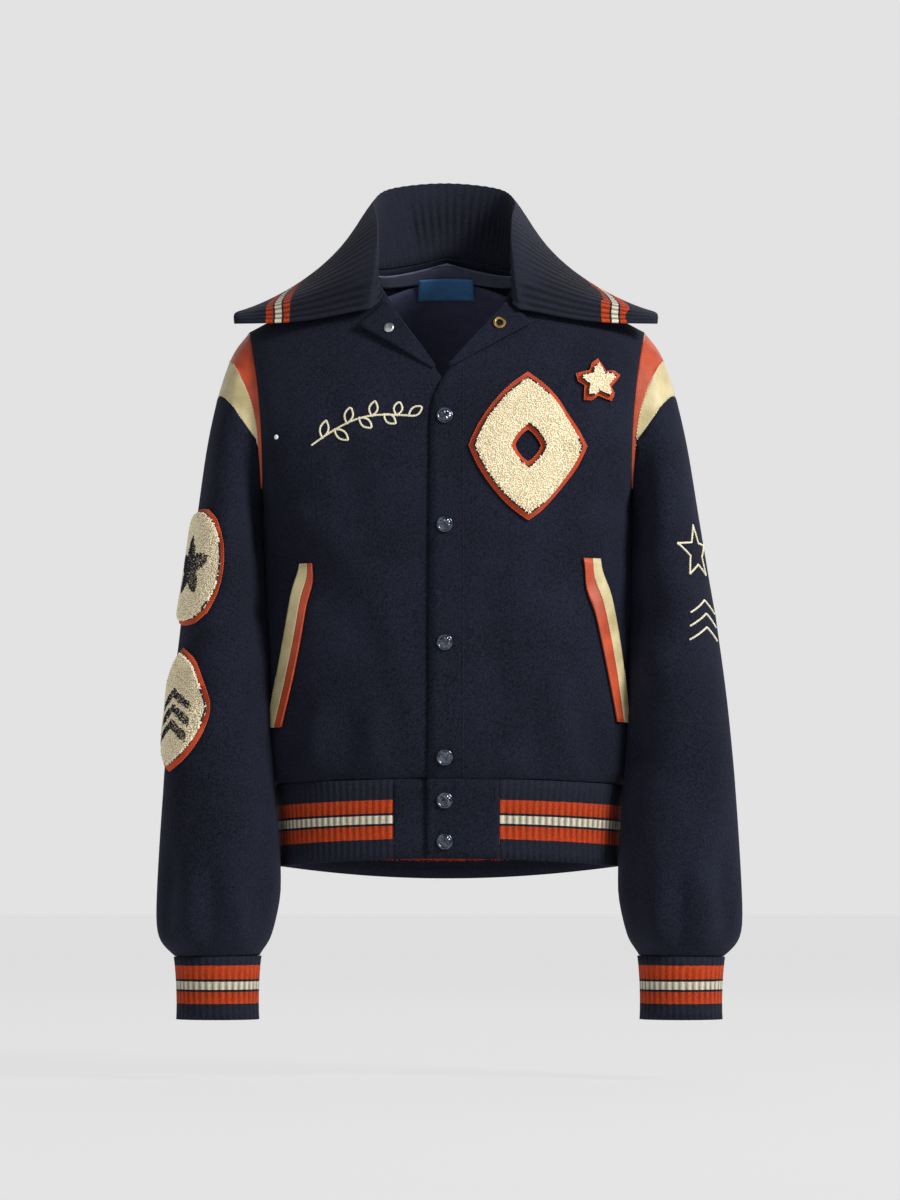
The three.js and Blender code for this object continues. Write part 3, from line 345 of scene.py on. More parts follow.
def drape(points, carrier):
    """Points in metres, moved by the folds of the body or of a sleeve."""
    mm = np.asarray(points, float).reshape(-1, 3) / MM
    x, y, z = mm.T
    if carrier == "body":
        centre = np.zeros((len(mm), 2))
        local_x, folds = x, BODY_FOLDS
        below_arms = smooth_step((ARMHOLE_END - z) / 40)
        between_arms = smooth_step((ARMHOLE_SIDE - np.abs(x)) / 40) * smooth_step((z - CHEST_END) / 30)
        off_snaps = smooth_step((np.abs(x - SNAP_LINE) - SNAP_CLEAR) / 16)
        fade = np.clip(below_arms + between_arms, 0, 1) * off_snaps * smooth_step((z - WAISTBAND_TOP) / 24)
    else:
        side = np.sign(x)
        centre = np.stack([side * np.interp(z, SLEEVE_AXIS_Z, SLEEVE_AXIS_X),
                           np.interp(z, SLEEVE_AXIS_Z, SLEEVE_AXIS_Y)], 1)
        local_x, folds = np.abs(x), SLEEVE_FOLDS
        fade = smooth_step((LEATHER_END - z) / 40) * smooth_step((z - CUFF_TOP) / 14)
    radial = np.stack([x, y], 1) - centre
    radial /= np.maximum(np.linalg.norm(radial, axis=1, keepdims=True), 1e-6)
    height = fold_height(local_x, z, radial[:, 1], folds) * fade
    inward = 1 if carrier == "body" else -1
    sideways = smooth_step((np.abs(radial[:, 0]) - 0.75) / 0.2)
    beside = sideways * smooth_step(radial[:, 0] * np.sign(x) * inward * 9)
    meet = SIDE_MEET[carrier] * beside * smooth_step((MEET_TOP - z) / 26) * smooth_step((z - MEET_LOW) / 50)
    if carrier == "body":
        meet = meet * smooth_step((z - MEET_BODY_LOW) / 30)
    height += meet
    mm[:, :2] += radial * height[:, None]
    return mm * MM


# %% [markdown]
# A solid from CAD is a mesh of loose triangles. Its points are merged, its triangles joined to
# quads where they are flat together, and its rims creased, so that Subdivision Surface rounds
# the cloth but keeps each edge. The result is a smooth thin shell of the same form.

# %% Shells
RIM_ANGLE = math.radians(50)
STRAIGHT_ON = -0.9
MERGE_DISTANCE = 1e-5
JOIN_ANGLE = math.radians(35)
JOIN_SHAPE_ANGLE = math.radians(120)
CLOTH_LEVELS = 2
PATCH_LEVELS = 1
shells = {}


def link(name, mesh):
    thing = bpy.data.objects.new(name, mesh)
    bpy.context.scene.collection.objects.link(thing)
    return thing


def baked(thing):
    """The object's mesh with its modifiers worked in, in place of them."""
    mesh = bpy.data.meshes.new_from_object(thing.evaluated_get(bpy.context.evaluated_depsgraph_get()))
    thing.modifiers.clear()
    thing.data = mesh
    mesh.name = thing.name
    return mesh


def get_points(mesh):
    points = np.zeros(len(mesh.vertices) * 3)
    mesh.vertices.foreach_get("co", points)
    return points.reshape(-1, 3)


def set_points(mesh, points):
    mesh.vertices.foreach_set("co", np.asarray(points).ravel())
    mesh.update()


def finish_faces(mesh, material):
    mesh.materials.clear()
    mesh.materials.append(material)
    mesh.polygons.foreach_set("material_index", [0] * len(mesh.polygons))
    mesh.shade_smooth()
    mesh.set_sharp_from_angle(angle=RIM_ANGLE)


def dress(piece, slot, *nodes):
    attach(piece, "root")
    if nodes:
        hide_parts(*nodes)
    return piece


def mark_groove_shade(work):
    """Marks the points that lie lower than their neighbours, between two ribs, where the knit gets painted
    shade.
    """
    painted_groove_shade = work.verts.layers.float.new("painted_groove_shade")
    for vert in work.verts:
        around = sum((edge.other_vert(vert).co for edge in vert.link_edges), Vector()) / len(vert.link_edges)
        lift = (around - vert.co).dot(vert.normal) / MM
        vert[painted_groove_shade] = 1.0 if lift > GROOVE_LIFT else 0.0


GROOVE_LIFT = 0.25
ROUND_TIPS = {"collar"}


def shell(node, slot, levels, carrier=None):
    work = bmesh.new()
    work.from_mesh(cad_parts[node].data)
    bmesh.ops.remove_doubles(work, verts=work.verts, dist=MERGE_DISTANCE)
    bmesh.ops.join_triangles(work, faces=work.faces, angle_face_threshold=JOIN_ANGLE,
                             angle_shape_threshold=JOIN_SHAPE_ANGLE)
    crease = work.edges.layers.float.new("crease_edge")
    corner = work.verts.layers.float.new("crease_vert")
    for edge in work.edges:
        if edge.calc_face_angle(0) > RIM_ANGLE:
            edge[crease] = 1.0
    for vert in work.verts:
        rims = [edge for edge in vert.link_edges if edge[crease]]
        ways = [(edge.other_vert(vert).co - vert.co).normalized() for edge in rims]
        straight = any(a.dot(b) < STRAIGHT_ON for k, a in enumerate(ways) for b in ways[:k])
        if rims and not straight and node not in ROUND_TIPS:
            vert[corner] = 1.0
    if slot == "rib_knit":
        # the grooves of the rib knit are marked here for painted shade
        mark_groove_shade(work)
    mesh = bpy.data.meshes.new(node)
    work.to_mesh(mesh)
    work.free()
    piece = link(f"{node}.cloth", mesh)
    rounding = piece.modifiers.new("round", "SUBSURF")
    rounding.levels = rounding.render_levels = levels
    mesh = baked(piece)
    if carrier:
        set_points(mesh, drape(get_points(mesh), carrier))
    finish_faces(mesh, materials[slot])
    shells[node] = piece
    return dress(piece, slot, node)


WOOL_PIECES = {"front_right": "body", "front_left": "body", "back": "body", "lapel_right": None,
               "lapel_left": None, "sleeve_right": "sleeve", "sleeve_left": "sleeve",
               "waist_tab_right": "body", "waist_tab_left": "body"}
for node, carrier in WOOL_PIECES.items():
    shell(node, "wool", CLOTH_LEVELS, carrier)
for side in ("right", "left"):
    shell(f"shoulder_cap_{side}", "orange_leather", CLOTH_LEVELS, "sleeve")
    shell(f"shoulder_band_{side}", "cream_leather", CLOTH_LEVELS, "sleeve")
    shell(f"pocket_welt_orange_{side}", "orange_leather", CLOTH_LEVELS, "body")
    shell(f"pocket_welt_cream_{side}", "cream_leather", CLOTH_LEVELS, "body")
# the facing and the lining carry painted light, colours paler than their cloth
for node, slot in (("neck_facing", "facing"), ("lining_back", "lining"), ("neck_label", "label")):
    shell(node, slot, CLOTH_LEVELS)
for node, slot, carrier in (
    ("chest_felt", "orange_felt", "body"), ("chest_chenille", "cream_chenille", "body"),
    ("star_felt", "orange_felt", "body"), ("star_chenille", "cream_chenille", "body"),
    ("upper_patch_felt", "orange_felt", "sleeve"), ("upper_patch_chenille", "cream_chenille", "sleeve"),
    ("lower_patch_felt", "orange_felt", "sleeve"), ("lower_patch_chenille", "cream_chenille", "sleeve"),
):
    shell(node, slot, PATCH_LEVELS, carrier)
print("shells", len(shells))

# %% [markdown]
# The knit pieces carry a number at every point for where it lies across the stripes, besides the one
# that marks the grooves between the ribs for painted shade. The collar's stripes keep their distance
# from its outer edge, those of the waistband and the cuffs their height.

# %% Knit pieces
COLLAR_WAYS = [0, 0.13, 0.28, 0.45, 0.62, 0.8, 1]
COLLAR_EDGE = [(204, -52, -63), (204, -34, -53), (196, 0, -46), (178, 42, -38), (142, 84, -26),
               (90, 124, -8), (0, 140, 0)]
COLLAR_ROLL = [(72, -88, -54), (67, -79, -21), (65, -48, 14), (66, -8, 44), (70, 44, 72), (53, 86, 84),
               (0, 105, 88)]
STRIPE_STEPS = [0, 1, 1.22, 2.0, 2.22, 3.22]
COLLAR_STRIPES = [29, 38.5, 40, 47, 48.5, 58]
WAIST_STRIPES = [0.28, 0.425, 0.45, 0.545, 0.57, 0.72]
CUFF_STRIPES = [0.28, 0.45, 0.48, 0.61, 0.64, 0.82]
BACK_STRIPE_DROP = 0.034
WAIST_HALF_WIDTH = 168
WAIST_SIDE_SEAM = 2
# height at the middle and rise towards the sides, first of the band's top and then of its hem
WAIST_FRONT = ((-503, -5), (-579, -7))
WAIST_BACK = ((-520, 12), (-598, 12))
CUFF_HEM = -732
CUFF_HEIGHT = 60


def point_number(mesh, name, values):
    attribute = mesh.attributes.new(name, "FLOAT", "POINT")
    attribute.data.foreach_set("value", np.asarray(values, np.float32))


def across_stripes(values, limits):
    beyond = [limits[0] - 1, *limits, limits[-1] + 1]
    steps = [STRIPE_STEPS[0] - 1, *STRIPE_STEPS, STRIPE_STEPS[-1] + 1]
    return np.interp(values, beyond, steps)


def collar_line(stations):
    ways = np.linspace(0, 1, 160)
    half = np.stack([np.interp(ways, COLLAR_WAYS, column) for column in np.array(stations).T], 1)
    return np.concatenate([half, half * [-1, 1, 1]])


def collar_across(points):
    """Distance in millimetres from the collar's outer edge, on what is folded over."""
    edge, roll = collar_line(COLLAR_EDGE), collar_line(COLLAR_ROLL)
    distances = []
    for point in points / MM:
        gaps = ((edge - point) ** 2).sum(1)
        near = gaps.argmin()
        out = (edge[near] - roll[near])[:2]
        folded = (point - roll[near])[:2] @ out > 0
        distances.append(math.sqrt(gaps[near]) if folded else 100)
    return np.array(distances)


def waist_across(points):
    x, y, z = (points / MM).T
    reach = np.clip(np.abs(x) / WAIST_HALF_WIDTH, 0, 1) ** 2
    front = y < WAIST_SIDE_SEAM
    top, hem = (np.where(front, ahead + ahead_rise * reach, behind + behind_rise * reach)
                for (ahead, ahead_rise), (behind, behind_rise) in zip(WAIST_FRONT, WAIST_BACK))
    return (z - hem) / (top - hem) + np.where(front, 0, BACK_STRIPE_DROP)


def cuff_across(points):
    return (points[:, 2] / MM - CUFF_HEM) / CUFF_HEIGHT


KNIT_PIECES = {"collar": (collar_across, COLLAR_STRIPES), "waist_rib": (waist_across, WAIST_STRIPES),
               "cuff_right": (cuff_across, CUFF_STRIPES), "cuff_left": (cuff_across, CUFF_STRIPES)}
for node, (across, limits) in KNIT_PIECES.items():
    piece = shell(node, "rib_knit", CLOTH_LEVELS)
    mesh = piece.data
    point_number(mesh, "stripe", across_stripes(across(get_points(mesh)), limits))
    print(node, len(mesh.polygons))

# %% [markdown]
# The snap caps are turned parts with a rim, a groove and a low dome, which has rays pressed into it so
# that it glitters. Each cap is turned again here, finer than in CAD, on the middle and axis of its solid.

# %% Snap caps and the other metal
CAP_PROFILE = [(0.97, 0), (1, 0.12), (1, 0.4), (0.95, 0.62), (0.86, 0.74), (0.79, 0.7), (0.74, 0.56),
               (0.69, 0.6), (0.6, 0.78), (0.48, 0.88), (0.34, 0.95), (0.18, 0.99), (0.05, 1)]
CAP_SIDES = 72
CAP_RAYS = 9
RAY_HEIGHT = 0.07
RAY_ZONE = (0.2, 0.66)


def turned_cap(node):
    solid = get_points(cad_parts[node].data)
    middle = (solid.min(0) + solid.max(0)) / 2
    axis = np.linalg.svd(solid - solid.mean(0))[2][2]
    axis *= -np.sign(axis[1])
    heights = (solid - middle) @ axis
    radius = np.linalg.norm(solid - middle - heights[:, None] * axis, axis=1).max()
    first = np.cross(axis, (0, 0, 1))
    first /= np.linalg.norm(first)
    second = np.cross(axis, first)
    angles = np.arange(CAP_SIDES) * 2 * math.pi / CAP_SIDES
    verts = []
    for share, height in CAP_PROFILE:
        rays = RAY_HEIGHT * np.cos(angles * CAP_RAYS) * (RAY_ZONE[0] < share < RAY_ZONE[1])
        rise = heights.min() + (height + rays) * np.ptp(heights)
        around = np.cos(angles)[:, None] * first + np.sin(angles)[:, None] * second
        verts += list(middle + rise[:, None] * axis + around * radius * share)
    rows = len(CAP_PROFILE)
    ring = [list(range(k * CAP_SIDES, (k + 1) * CAP_SIDES)) for k in range(rows)]
    faces = [(a[k], a[(k + 1) % CAP_SIDES], b[(k + 1) % CAP_SIDES], b[k])
             for a, b in zip(ring, ring[1:]) for k in range(CAP_SIDES)]
    faces += [ring[-1], ring[0][::-1]]
    mesh = bpy.data.meshes.new(node)
    mesh.from_pydata([tuple(vert) for vert in verts], [], faces)
    work = bmesh.new()
    work.from_mesh(mesh)
    bmesh.ops.recalc_face_normals(work, faces=work.faces)
    work.to_mesh(mesh)
    work.free()
    finish_faces(mesh, materials["dark_chrome"])
    dress(link(f"{node}.cap", mesh), "dark_chrome", node)


for number in range(1, 7):
    turned_cap(f"snap_{number}")
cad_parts["neck_snap_stud"].data.materials[0] = materials["silver"]
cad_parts["neck_snap_socket"].data.materials[0] = materials["brass"]
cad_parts["small_stud"].data.materials[0] = materials["white_stud"]

# %% [markdown]
# The size that each cloth piece was cut to, before it was sewn and worn, is listed here. A seam
# allowance isn't part of it. The cuts aren't rectangles, so most have an area of their own.

# %% Cuts
# width, length and area in metres and square metres
CUTS = {
    "front_right": (0.215, 0.56, 0.116), "front_left": (0.225, 0.56, 0.119), "back": (0.46, 0.6, 0.247),
    "sleeve": (0.4, 0.56, 0.171), "shoulder_cap": (0.042, 0.27, 0.0053),
    "shoulder_band": (0.045, 0.15, 0.0055), "collar": (0.66, 0.17, 0.105),
    "waist_rib": (0.87, 0.078, 0.066), "waist_tab": (0.07, 0.078, 0.0054), "cuff": (0.235, 0.062, 0.0145),
    "lapel": (0.085, 0.035, 0.0019), "neck_facing": (0.15, 0.026, 0.0036),
    "lining_back": (0.36, 0.23, 0.0636), "neck_label": (0.06, 0.0225, 0.00135),
    "pocket_welt_cream": (0.155, 0.015, 0.0022), "pocket_welt_orange": (0.155, 0.012, 0.0018),
    "chest_felt": (0.112, 0.142, 0.0099), "chest_chenille": (0.102, 0.13, 0.0081),
    "star_felt": (0.045, 0.043, 0.0012), "star_chenille": (0.034, 0.032, 0.00073),
    "upper_patch_felt": (0.1, 0.114, 0.0095), "upper_patch_chenille": (0.091, 0.105, 0.0085),
    "lower_patch_felt": (0.092, 0.118, 0.0078), "lower_patch_chenille": (0.082, 0.106, 0.0067),
}
for node, piece in shells.items():
    kind = node if node in CUTS else node.rsplit("_", 1)[0]

# %% [markdown]
# Stitches repeat along a line, so Geometry Nodes set them: a line of edges becomes a curve, the curve
# is cut into equal steps, and a small thread lies at each step along the curve's own direction.

# %% Stitch and pile trees
def tree_with(name, numbers):
    tree = bpy.data.node_groups.new(name, "GeometryNodeTree")
    tree.interface.new_socket("Geometry", in_out="INPUT", socket_type="NodeSocketGeometry")
    for number in numbers:
        tree.interface.new_socket(number, in_out="INPUT", socket_type="NodeSocketFloat")
    tree.interface.new_socket("Material", in_out="INPUT", socket_type="NodeSocketMaterial")
    tree.interface.new_socket("Geometry", in_out="OUTPUT", socket_type="NodeSocketGeometry")
    given = tree.nodes.new("NodeGroupInput")
    result = tree.nodes.new("NodeGroupOutput")

    def add(kind, settings=None, **values):
        node = tree.nodes.new(kind)
        for key, setting in (settings or {}).items():
            setattr(node, key, setting)
        for key, value in values.items():
            socket = node.inputs[key.replace("_", " ")]
            if isinstance(value, bpy.types.NodeSocket):
                tree.links.new(value, socket)
            else:
                socket.default_value = value
        return node.outputs

    def close(instances):
        real = add("GeometryNodeRealizeInstances", Geometry=instances)[0]
        smooth = add("GeometryNodeSetShadeSmooth", Geometry=real)[0]
        final = add("GeometryNodeSetMaterial", Geometry=smooth, Material=given.outputs["Material"])[0]
        tree.links.new(final, result.inputs[0])

    return tree, given.outputs, add, close


def make_stitch_tree():
    tree, given, add, close = tree_with("stitches", ["Pitch", "Length", "Radius"])
    curve = add("GeometryNodeMeshToCurve", Mesh=given["Geometry"])[0]
    steps = add("GeometryNodeResampleCurve", {"mode": "LENGTH"}, Curve=curve, Length=given["Pitch"])[0]
    thread = add("GeometryNodeMeshIcoSphere", Radius=1.0, Subdivisions=1)[0]
    size = add("ShaderNodeCombineXYZ", X=given["Radius"], Y=given["Radius"], Z=given["Length"])[0]
    along = add("GeometryNodeInputTangent")[0]
    turn = add("FunctionNodeAlignRotationToVector", {"axis": "Z"}, Vector=along)[0]
    close(add("GeometryNodeInstanceOnPoints", Points=steps, Instance=thread, Rotation=turn, Scale=size)[0])
    return tree


PILE_SEED = 7
PILE_DENSITY = 9e5
BEAD_SIZES = (0.8, 1.25)


def make_pile_tree():
    tree, given, add, close = tree_with("pile", ["Spacing", "Radius"])
    spots = add("GeometryNodeDistributePointsOnFaces", {"distribute_method": "POISSON"},
                Mesh=given["Geometry"], Distance_Min=given["Spacing"], Density_Max=PILE_DENSITY,
                Seed=PILE_SEED)
    loop = add("GeometryNodeMeshIcoSphere", Radius=1.0, Subdivisions=1)[0]
    uneven = add("FunctionNodeRandomValue", {"data_type": "FLOAT"}, Seed=PILE_SEED)
    uneven[1].node.inputs[2].default_value = BEAD_SIZES[0]
    uneven[1].node.inputs[3].default_value = BEAD_SIZES[1]
    size = add("ShaderNodeMath", {"operation": "MULTIPLY"})
    tree.links.new(uneven[1], size[0].node.inputs[0])
    tree.links.new(given["Radius"], size[0].node.inputs[1])
    close(add("GeometryNodeInstanceOnPoints", Points=spots[0], Instance=loop, Rotation=spots[2],
              Scale=size[0])[0])
    return tree


stitch_tree, pile_tree = make_stitch_tree(), make_pile_tree()


def grown(name, mesh, tree, material, slot, **numbers):
    """A piece that a tree grows on a mesh, baked to a plain mesh."""
    piece = link(name, mesh)
    modifier = piece.modifiers.new(tree.name, "NODES")
    modifier.node_group = tree
    for item in tree.interface.items_tree:
        if item.in_out == "INPUT" and item.name in numbers:
            modifier[item.identifier] = numbers[item.name] * MM
        elif item.in_out == "INPUT" and item.name == "Material":
            modifier[item.identifier] = material
    baked(piece)
    dress(piece, slot)
    return piece


# %% [markdown]
# A row of stitches keeps an even distance from an edge. Insetting the faces of a panel's outer side
# by that distance leaves a loop of edges just there.

# %% Rows along the edges
def outer_side(piece, core=None):
    """The faces of a shell that look away from the wearer."""
    work = bmesh.new()
    work.from_mesh(piece.data)
    inner = []
    for face in work.faces:
        centre = face.calc_center_median()
        middle = core if core is not None else Vector((0, 0, centre.z))
        if face.normal.dot((centre - middle).normalized()) < OUTER_LIMIT:
            inner.append(face)
    bmesh.ops.delete(work, geom=inner, context="FACES")
    return work


OUTER_LIMIT = 0.25


def sleeve_core(piece):
    box = get_points(piece.data)
    side = 1 if box[:, 0].mean() > 0 else -1
    height = box[:, 2].mean() / MM
    return Vector((side * np.interp(height, SLEEVE_AXIS_Z, SLEEVE_AXIS_X) * MM,
                   np.interp(height, SLEEVE_AXIS_Z, SLEEVE_AXIS_Y) * MM, height * MM))


def edge_line(piece, inset, core=None):
    work = outer_side(piece, core)
    if inset:
        ring = bmesh.ops.inset_region(work, faces=work.faces[:], thickness=inset * MM, use_even_offset=True)
        bmesh.ops.delete(work, geom=ring["faces"], context="FACES")
    line = bpy.data.meshes.new(f"{piece.name}.line")
    rims = [edge for edge in work.edges if len(edge.link_faces) == 1]
    index = {vert: k for k, vert in enumerate({vert for edge in rims for vert in edge.verts})}
    line.from_pydata([vert.co[:] for vert in index], [[index[v] for v in edge.verts] for edge in rims], [])
    work.free()
    return line


THREAD = {"Pitch": 3.4, "Length": 1.25, "Radius": 0.42}
LEATHER_INSET = 2.2
WELT_INSET = 1.3
FELT_INSET = 1.2
SHOULDER_CORE_X = 0.172
SHOULDER_CORE_Z = -0.17
for side in ("right", "left"):
    for kind, thread in (("shoulder_cap", "orange"), ("shoulder_band", "cream")):
        cloth = shells[f"{kind}_{side}"]
        core = Vector((SHOULDER_CORE_X * (1 if side == "left" else -1), 0, SHOULDER_CORE_Z))
        grown(f"{kind}_{side}.stitches", edge_line(cloth, LEATHER_INSET, core), stitch_tree,
              materials[f"thread_{thread}"], f"{thread}_leather", **THREAD)
    for colour in ("orange", "cream"):
        cloth = shells[f"pocket_welt_{colour}_{side}"]
        grown(f"pocket_welt_{colour}_{side}.stitches", edge_line(cloth, WELT_INSET), stitch_tree,
              materials[f"thread_{colour}"], f"{colour}_leather", Pitch=3.0, Length=1.1, Radius=0.35)
for node, core in (("chest_felt", None), ("star_felt", None), ("upper_patch_felt", "sleeve"),
                   ("lower_patch_felt", "sleeve")):
    cloth = shells[node]
    middle = sleeve_core(cloth) if core else None
    grown(f"{node}.stitches", edge_line(cloth, FELT_INSET, middle), stitch_tree,
          materials["thread_orange"], "orange_felt", Pitch=2.6, Length=1.0, Radius=0.4)

# %% [markdown]
# Chenille is looped yarn, sewn down so close that only the tops of the loops show. Small uneven
# beads on the cushion's face give that grain. Each bead takes its colour from a drawn motif, and a
# dark cord runs round the edge, where the yarn meets the felt.

# %% Chenille pile and its motifs
STAR_POINTS = 5
STAR_NOTCH = 0.52
CHEVRON_LEVELS = (16, 1, -14)
CHEVRON_HALF_WIDTH = 26
CHEVRON_HALF_BAND = 4.5
CHEVRON_SLOPE = 0.55


def in_star(u, v, size):
    angle = np.arctan2(u, v) * STAR_POINTS / math.pi % 2
    reach = size * (1 - STAR_NOTCH * np.where(angle < 1, angle, 2 - angle))
    return np.hypot(u, v) < reach


def in_chevrons(u, v):
    rise = v + np.abs(u) * CHEVRON_SLOPE
    bands = [np.abs(rise - level) < CHEVRON_HALF_BAND for level in CHEVRON_LEVELS]
    return (np.abs(u) < CHEVRON_HALF_WIDTH) & np.any(bands, axis=0)


MOTIFS = {"upper_patch_chenille": lambda u, v: in_star(u, v, 30), "lower_patch_chenille": in_chevrons}


def pile_material():
    pile = Finish("chenille_pile")
    yarn = pile.noise(900, 2)
    motif = pile.add("ShaderNodeAttribute", {"attribute_name": "motif"}, output="Fac")
    cream = pile.colour_mix(pile.spread(yarn, 0, 1), srgb(236, 220, 184), srgb(255, 248, 224))
    navy = pile.colour_mix(pile.spread(yarn, 0, 1), srgb(14, 16, 28), srgb(40, 44, 64))
    return pile.surface(bump=yarn, strength=0.5, distance=0.0004, Roughness=0.95, Specular_IOR_Level=0.1,
                        Base_Color=pile.colour_mix(motif, cream, navy), Sheen_Weight=0.1)


pile_finish = pile_material()
BEAD_POINTS = 12
PILE_SPACING = 1.25
PILE_RADIUS = 0.95
PILE_INSET = 1.1


def face_mesh(piece, core):
    work = outer_side(piece, core)
    ring = bmesh.ops.inset_region(work, faces=work.faces[:], thickness=PILE_INSET * MM, use_even_offset=True)
    bmesh.ops.delete(work, geom=ring["faces"], context="FACES")
    mesh = bpy.data.meshes.new(f"{piece.name}.face")
    work.to_mesh(mesh)
    work.free()
    return mesh


for node in ("chest_chenille", "star_chenille", "upper_patch_chenille", "lower_patch_chenille"):
    cushion = shells[node]
    core = sleeve_core(cushion) if "patch" in node else None
    pile = grown(f"{node}.pile", face_mesh(cushion, core), pile_tree, pile_finish, "cream_chenille",
                 Spacing=PILE_SPACING, Radius=PILE_RADIUS)
    points = get_points(pile.data) / MM
    beads = points.reshape(-1, BEAD_POINTS, 3).mean(1)
    middle = beads.mean(0)
    if core is None:
        motif = np.zeros(len(beads))
    else:
        out = middle[:2] - np.array(core[:2]) / MM
        across = np.array([-out[1], out[0]]) / np.hypot(*out)
        motif = MOTIFS[node]((beads[:, :2] - middle[:2]) @ across, beads[:, 2] - middle[2]).astype(float)
    point_number(pile.data, "motif", np.repeat(motif, BEAD_POINTS))
    grown(f"{node}.cord", edge_line(cushion, 0, core), stitch_tree, materials["thread_navy"], "wool",
          Pitch=1.4, Length=1.3, Radius=0.95)
    print(node, len(beads), "loops")

# %% [markdown]
# The embroidery is chain stitch: fat cream loops, one after another, along lines drawn on the front
# view. Each line is cast straight onto the cloth below it, so it follows the panel's curve.

# %% Embroidery
def cast(lines, target, out, middle):
    """Lines in millimetres across and up, cast onto a piece along the direction that it faces."""
    surface = BVHTree.FromObject(target, bpy.context.evaluated_depsgraph_get())
    out = Vector(out).normalized()
    across = Vector((0, 0, 1)).cross(out)
    verts, edges = [], []
    for line in lines:
        before = None
        for u, v in line:
            start = Vector(middle) * MM + across * u * MM + Vector((0, 0, v * MM)) + out * 0.3
            hit = surface.ray_cast(start, -out)[0]
            if hit is None:
                before = None
                continue
            verts.append(hit + out * THREAD_RISE * MM)
            if before is not None:
                edges.append((before, len(verts) - 1))
            before = len(verts) - 1
    mesh = bpy.data.meshes.new("line")
    mesh.from_pydata(verts, edges, [])
    return mesh


THREAD_RISE = 0.3


def leaf(root, angle, length, width):
    steps = np.linspace(0, 1, 12)
    bulge = np.sin(np.pi * steps) ** 0.8 * width / 2
    points = []
    for side in (1, -1):
        row = [(s * length, side * b) for s, b in zip(steps, bulge)]
        points += row if side > 0 else row[::-1]
    turn = math.radians(angle)
    return [(root[0] + x * math.cos(turn) - y * math.sin(turn),
             root[1] + x * math.sin(turn) + y * math.cos(turn)) for x, y in points]


def sprig():
    stem = [(-46 + 92 * t, -17 + 30 * t + 10 * math.sin(math.pi * 1.1 * t)) for t in np.linspace(0, 1, 40)]
    lines = [stem]
    for k, t in enumerate(range(4, 38, 5)):
        up = k % 2 == 0
        lines.append(leaf(stem[t], 78 if up else -38, 17 - t * 0.12, 8))
    lines.append(leaf(stem[-1], 35, 15, 8))
    return lines


OUTLINE_NOTCH = 0.45


def star_outline(size):
    turns = np.linspace(0, 2 * math.pi, 2 * STAR_POINTS + 1)
    reach = [size if k % 2 == 0 else size * OUTLINE_NOTCH for k in range(len(turns))]
    return [[(r * math.sin(t), r * math.cos(t)) for r, t in zip(reach, turns)]]


def dense(lines, step=1.0):
    result = []
    for line in lines:
        points = [line[0]]
        for a, b in zip(line, line[1:]):
            count = max(1, int(math.dist(a, b) / step))
            points += [(a[0] + (b[0] - a[0]) * k / count, a[1] + (b[1] - a[1]) * k / count)
                       for k in range(1, count + 1)]
        result.append(points)
    return result


CHAIN = {"Pitch": 2.3, "Length": 1.75, "Radius": 1.2}
chest_lines = cast(dense(sprig()), shells["front_right"], (0, -1, 0), (-82, -100, -168))
grown("chest_sprig", chest_lines, stitch_tree, materials["thread_cream"], "cream_chenille", **CHAIN)
SLEEVE_FRONT = (0.62, -0.78, 0)
sleeve_lines = star_outline(26) + [[(-20, -58 - d), (0, -46 - d), (20, -58 - d)] for d in (0, 13, 26)]
arm_lines = cast(dense(sleeve_lines), shells["sleeve_left"], SLEEVE_FRONT, (246, -75, -286))
grown("sleeve_motif", arm_lines, stitch_tree, materials["thread_cream"], "cream_chenille", **CHAIN)
placket = cast(dense([[(0, 0), (0, -398)]], 4), shells["front_left"], (0, -1, 0), (15.5, -110, -110))
grown("placket.stitches", placket, stitch_tree, materials["thread_navy"], "wool",
      Pitch=4.2, Length=1.5, Radius=0.55)
print("embroidery done")

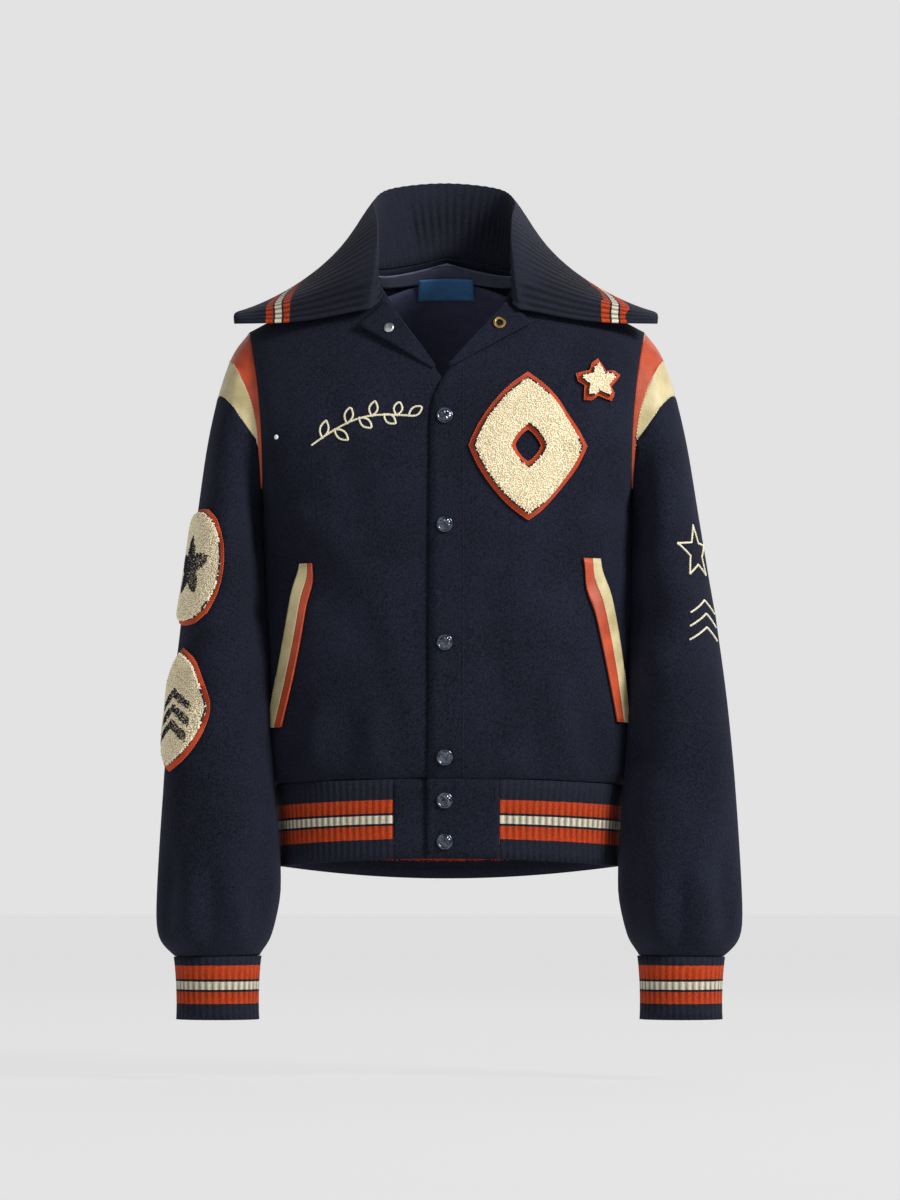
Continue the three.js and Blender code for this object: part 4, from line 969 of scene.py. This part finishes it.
# %% [markdown]
# The studio is a pale floor that reaches far out all round, and a pale wall at its rear edge. A soft
# lamp stands in front to the right, a weak one opens the shadows on the left, and one stands behind.

# %% Floor, wall and lamps
STAGE_SHADE = 0.06


def stage_plane(name, corners, glow):
    mesh = bpy.data.meshes.new(name)
    mesh.from_pydata(corners, [], [(0, 1, 2, 3)])
    plane = link(name, mesh)
    pale = Finish(name)
    plane.data.materials.append(pale.surface(
        Base_Color=(STAGE_SHADE, STAGE_SHADE, STAGE_SHADE, 1), Roughness=1.0, Specular_IOR_Level=0.0,
        Emission_Color=(1, 1, 1, 1), Emission_Strength=glow))


FLOOR_Z = -0.79
STAGE_REACH = 18
WALL_TOP = 15
NEAR_EDGE = [(-STAGE_REACH, -STAGE_REACH, FLOOR_Z), (STAGE_REACH, -STAGE_REACH, FLOOR_Z)]
REAR_EDGE = [(-STAGE_REACH, STAGE_REACH, FLOOR_Z), (STAGE_REACH, STAGE_REACH, FLOOR_Z)]
WALL_EDGE = [(STAGE_REACH, STAGE_REACH, WALL_TOP), (-STAGE_REACH, STAGE_REACH, WALL_TOP)]
stage_plane("floor", NEAR_EDGE + REAR_EDGE[::-1], 0.71)
stage_plane("backdrop", REAR_EDGE + WALL_EDGE, 0.738)


def area_lamp(name, place, size, power):
    data = bpy.data.lights.new(name, "AREA")
    data.energy, data.size = power, size
    lamp = bpy.data.objects.new(name, data)
    lamp.location = place
    lamp.rotation_euler = (TARGET - Vector(place)).to_track_quat("-Z", "Y").to_euler()
    bpy.context.scene.collection.objects.link(lamp)


WORLD_SHADE = 0.78
WORLD_STRENGTH = 0.28
area_lamp("key", (2.3, -1.9, 1.4), 0.9, 120)
area_lamp("fill", (-1.6, -3.2, 0.9), 2.0, 14)
area_lamp("rim", (0.4, 2.6, 2.2), 1.6, 40)
world = bpy.data.worlds.new("studio")
world.use_nodes = True
world.node_tree.nodes["Background"].inputs[0].default_value = (WORLD_SHADE, WORLD_SHADE, WORLD_SHADE, 1)
world.node_tree.nodes["Background"].inputs[1].default_value = WORLD_STRENGTH
bpy.context.scene.world = world
bpy.context.scene.view_settings.view_transform = "Standard"
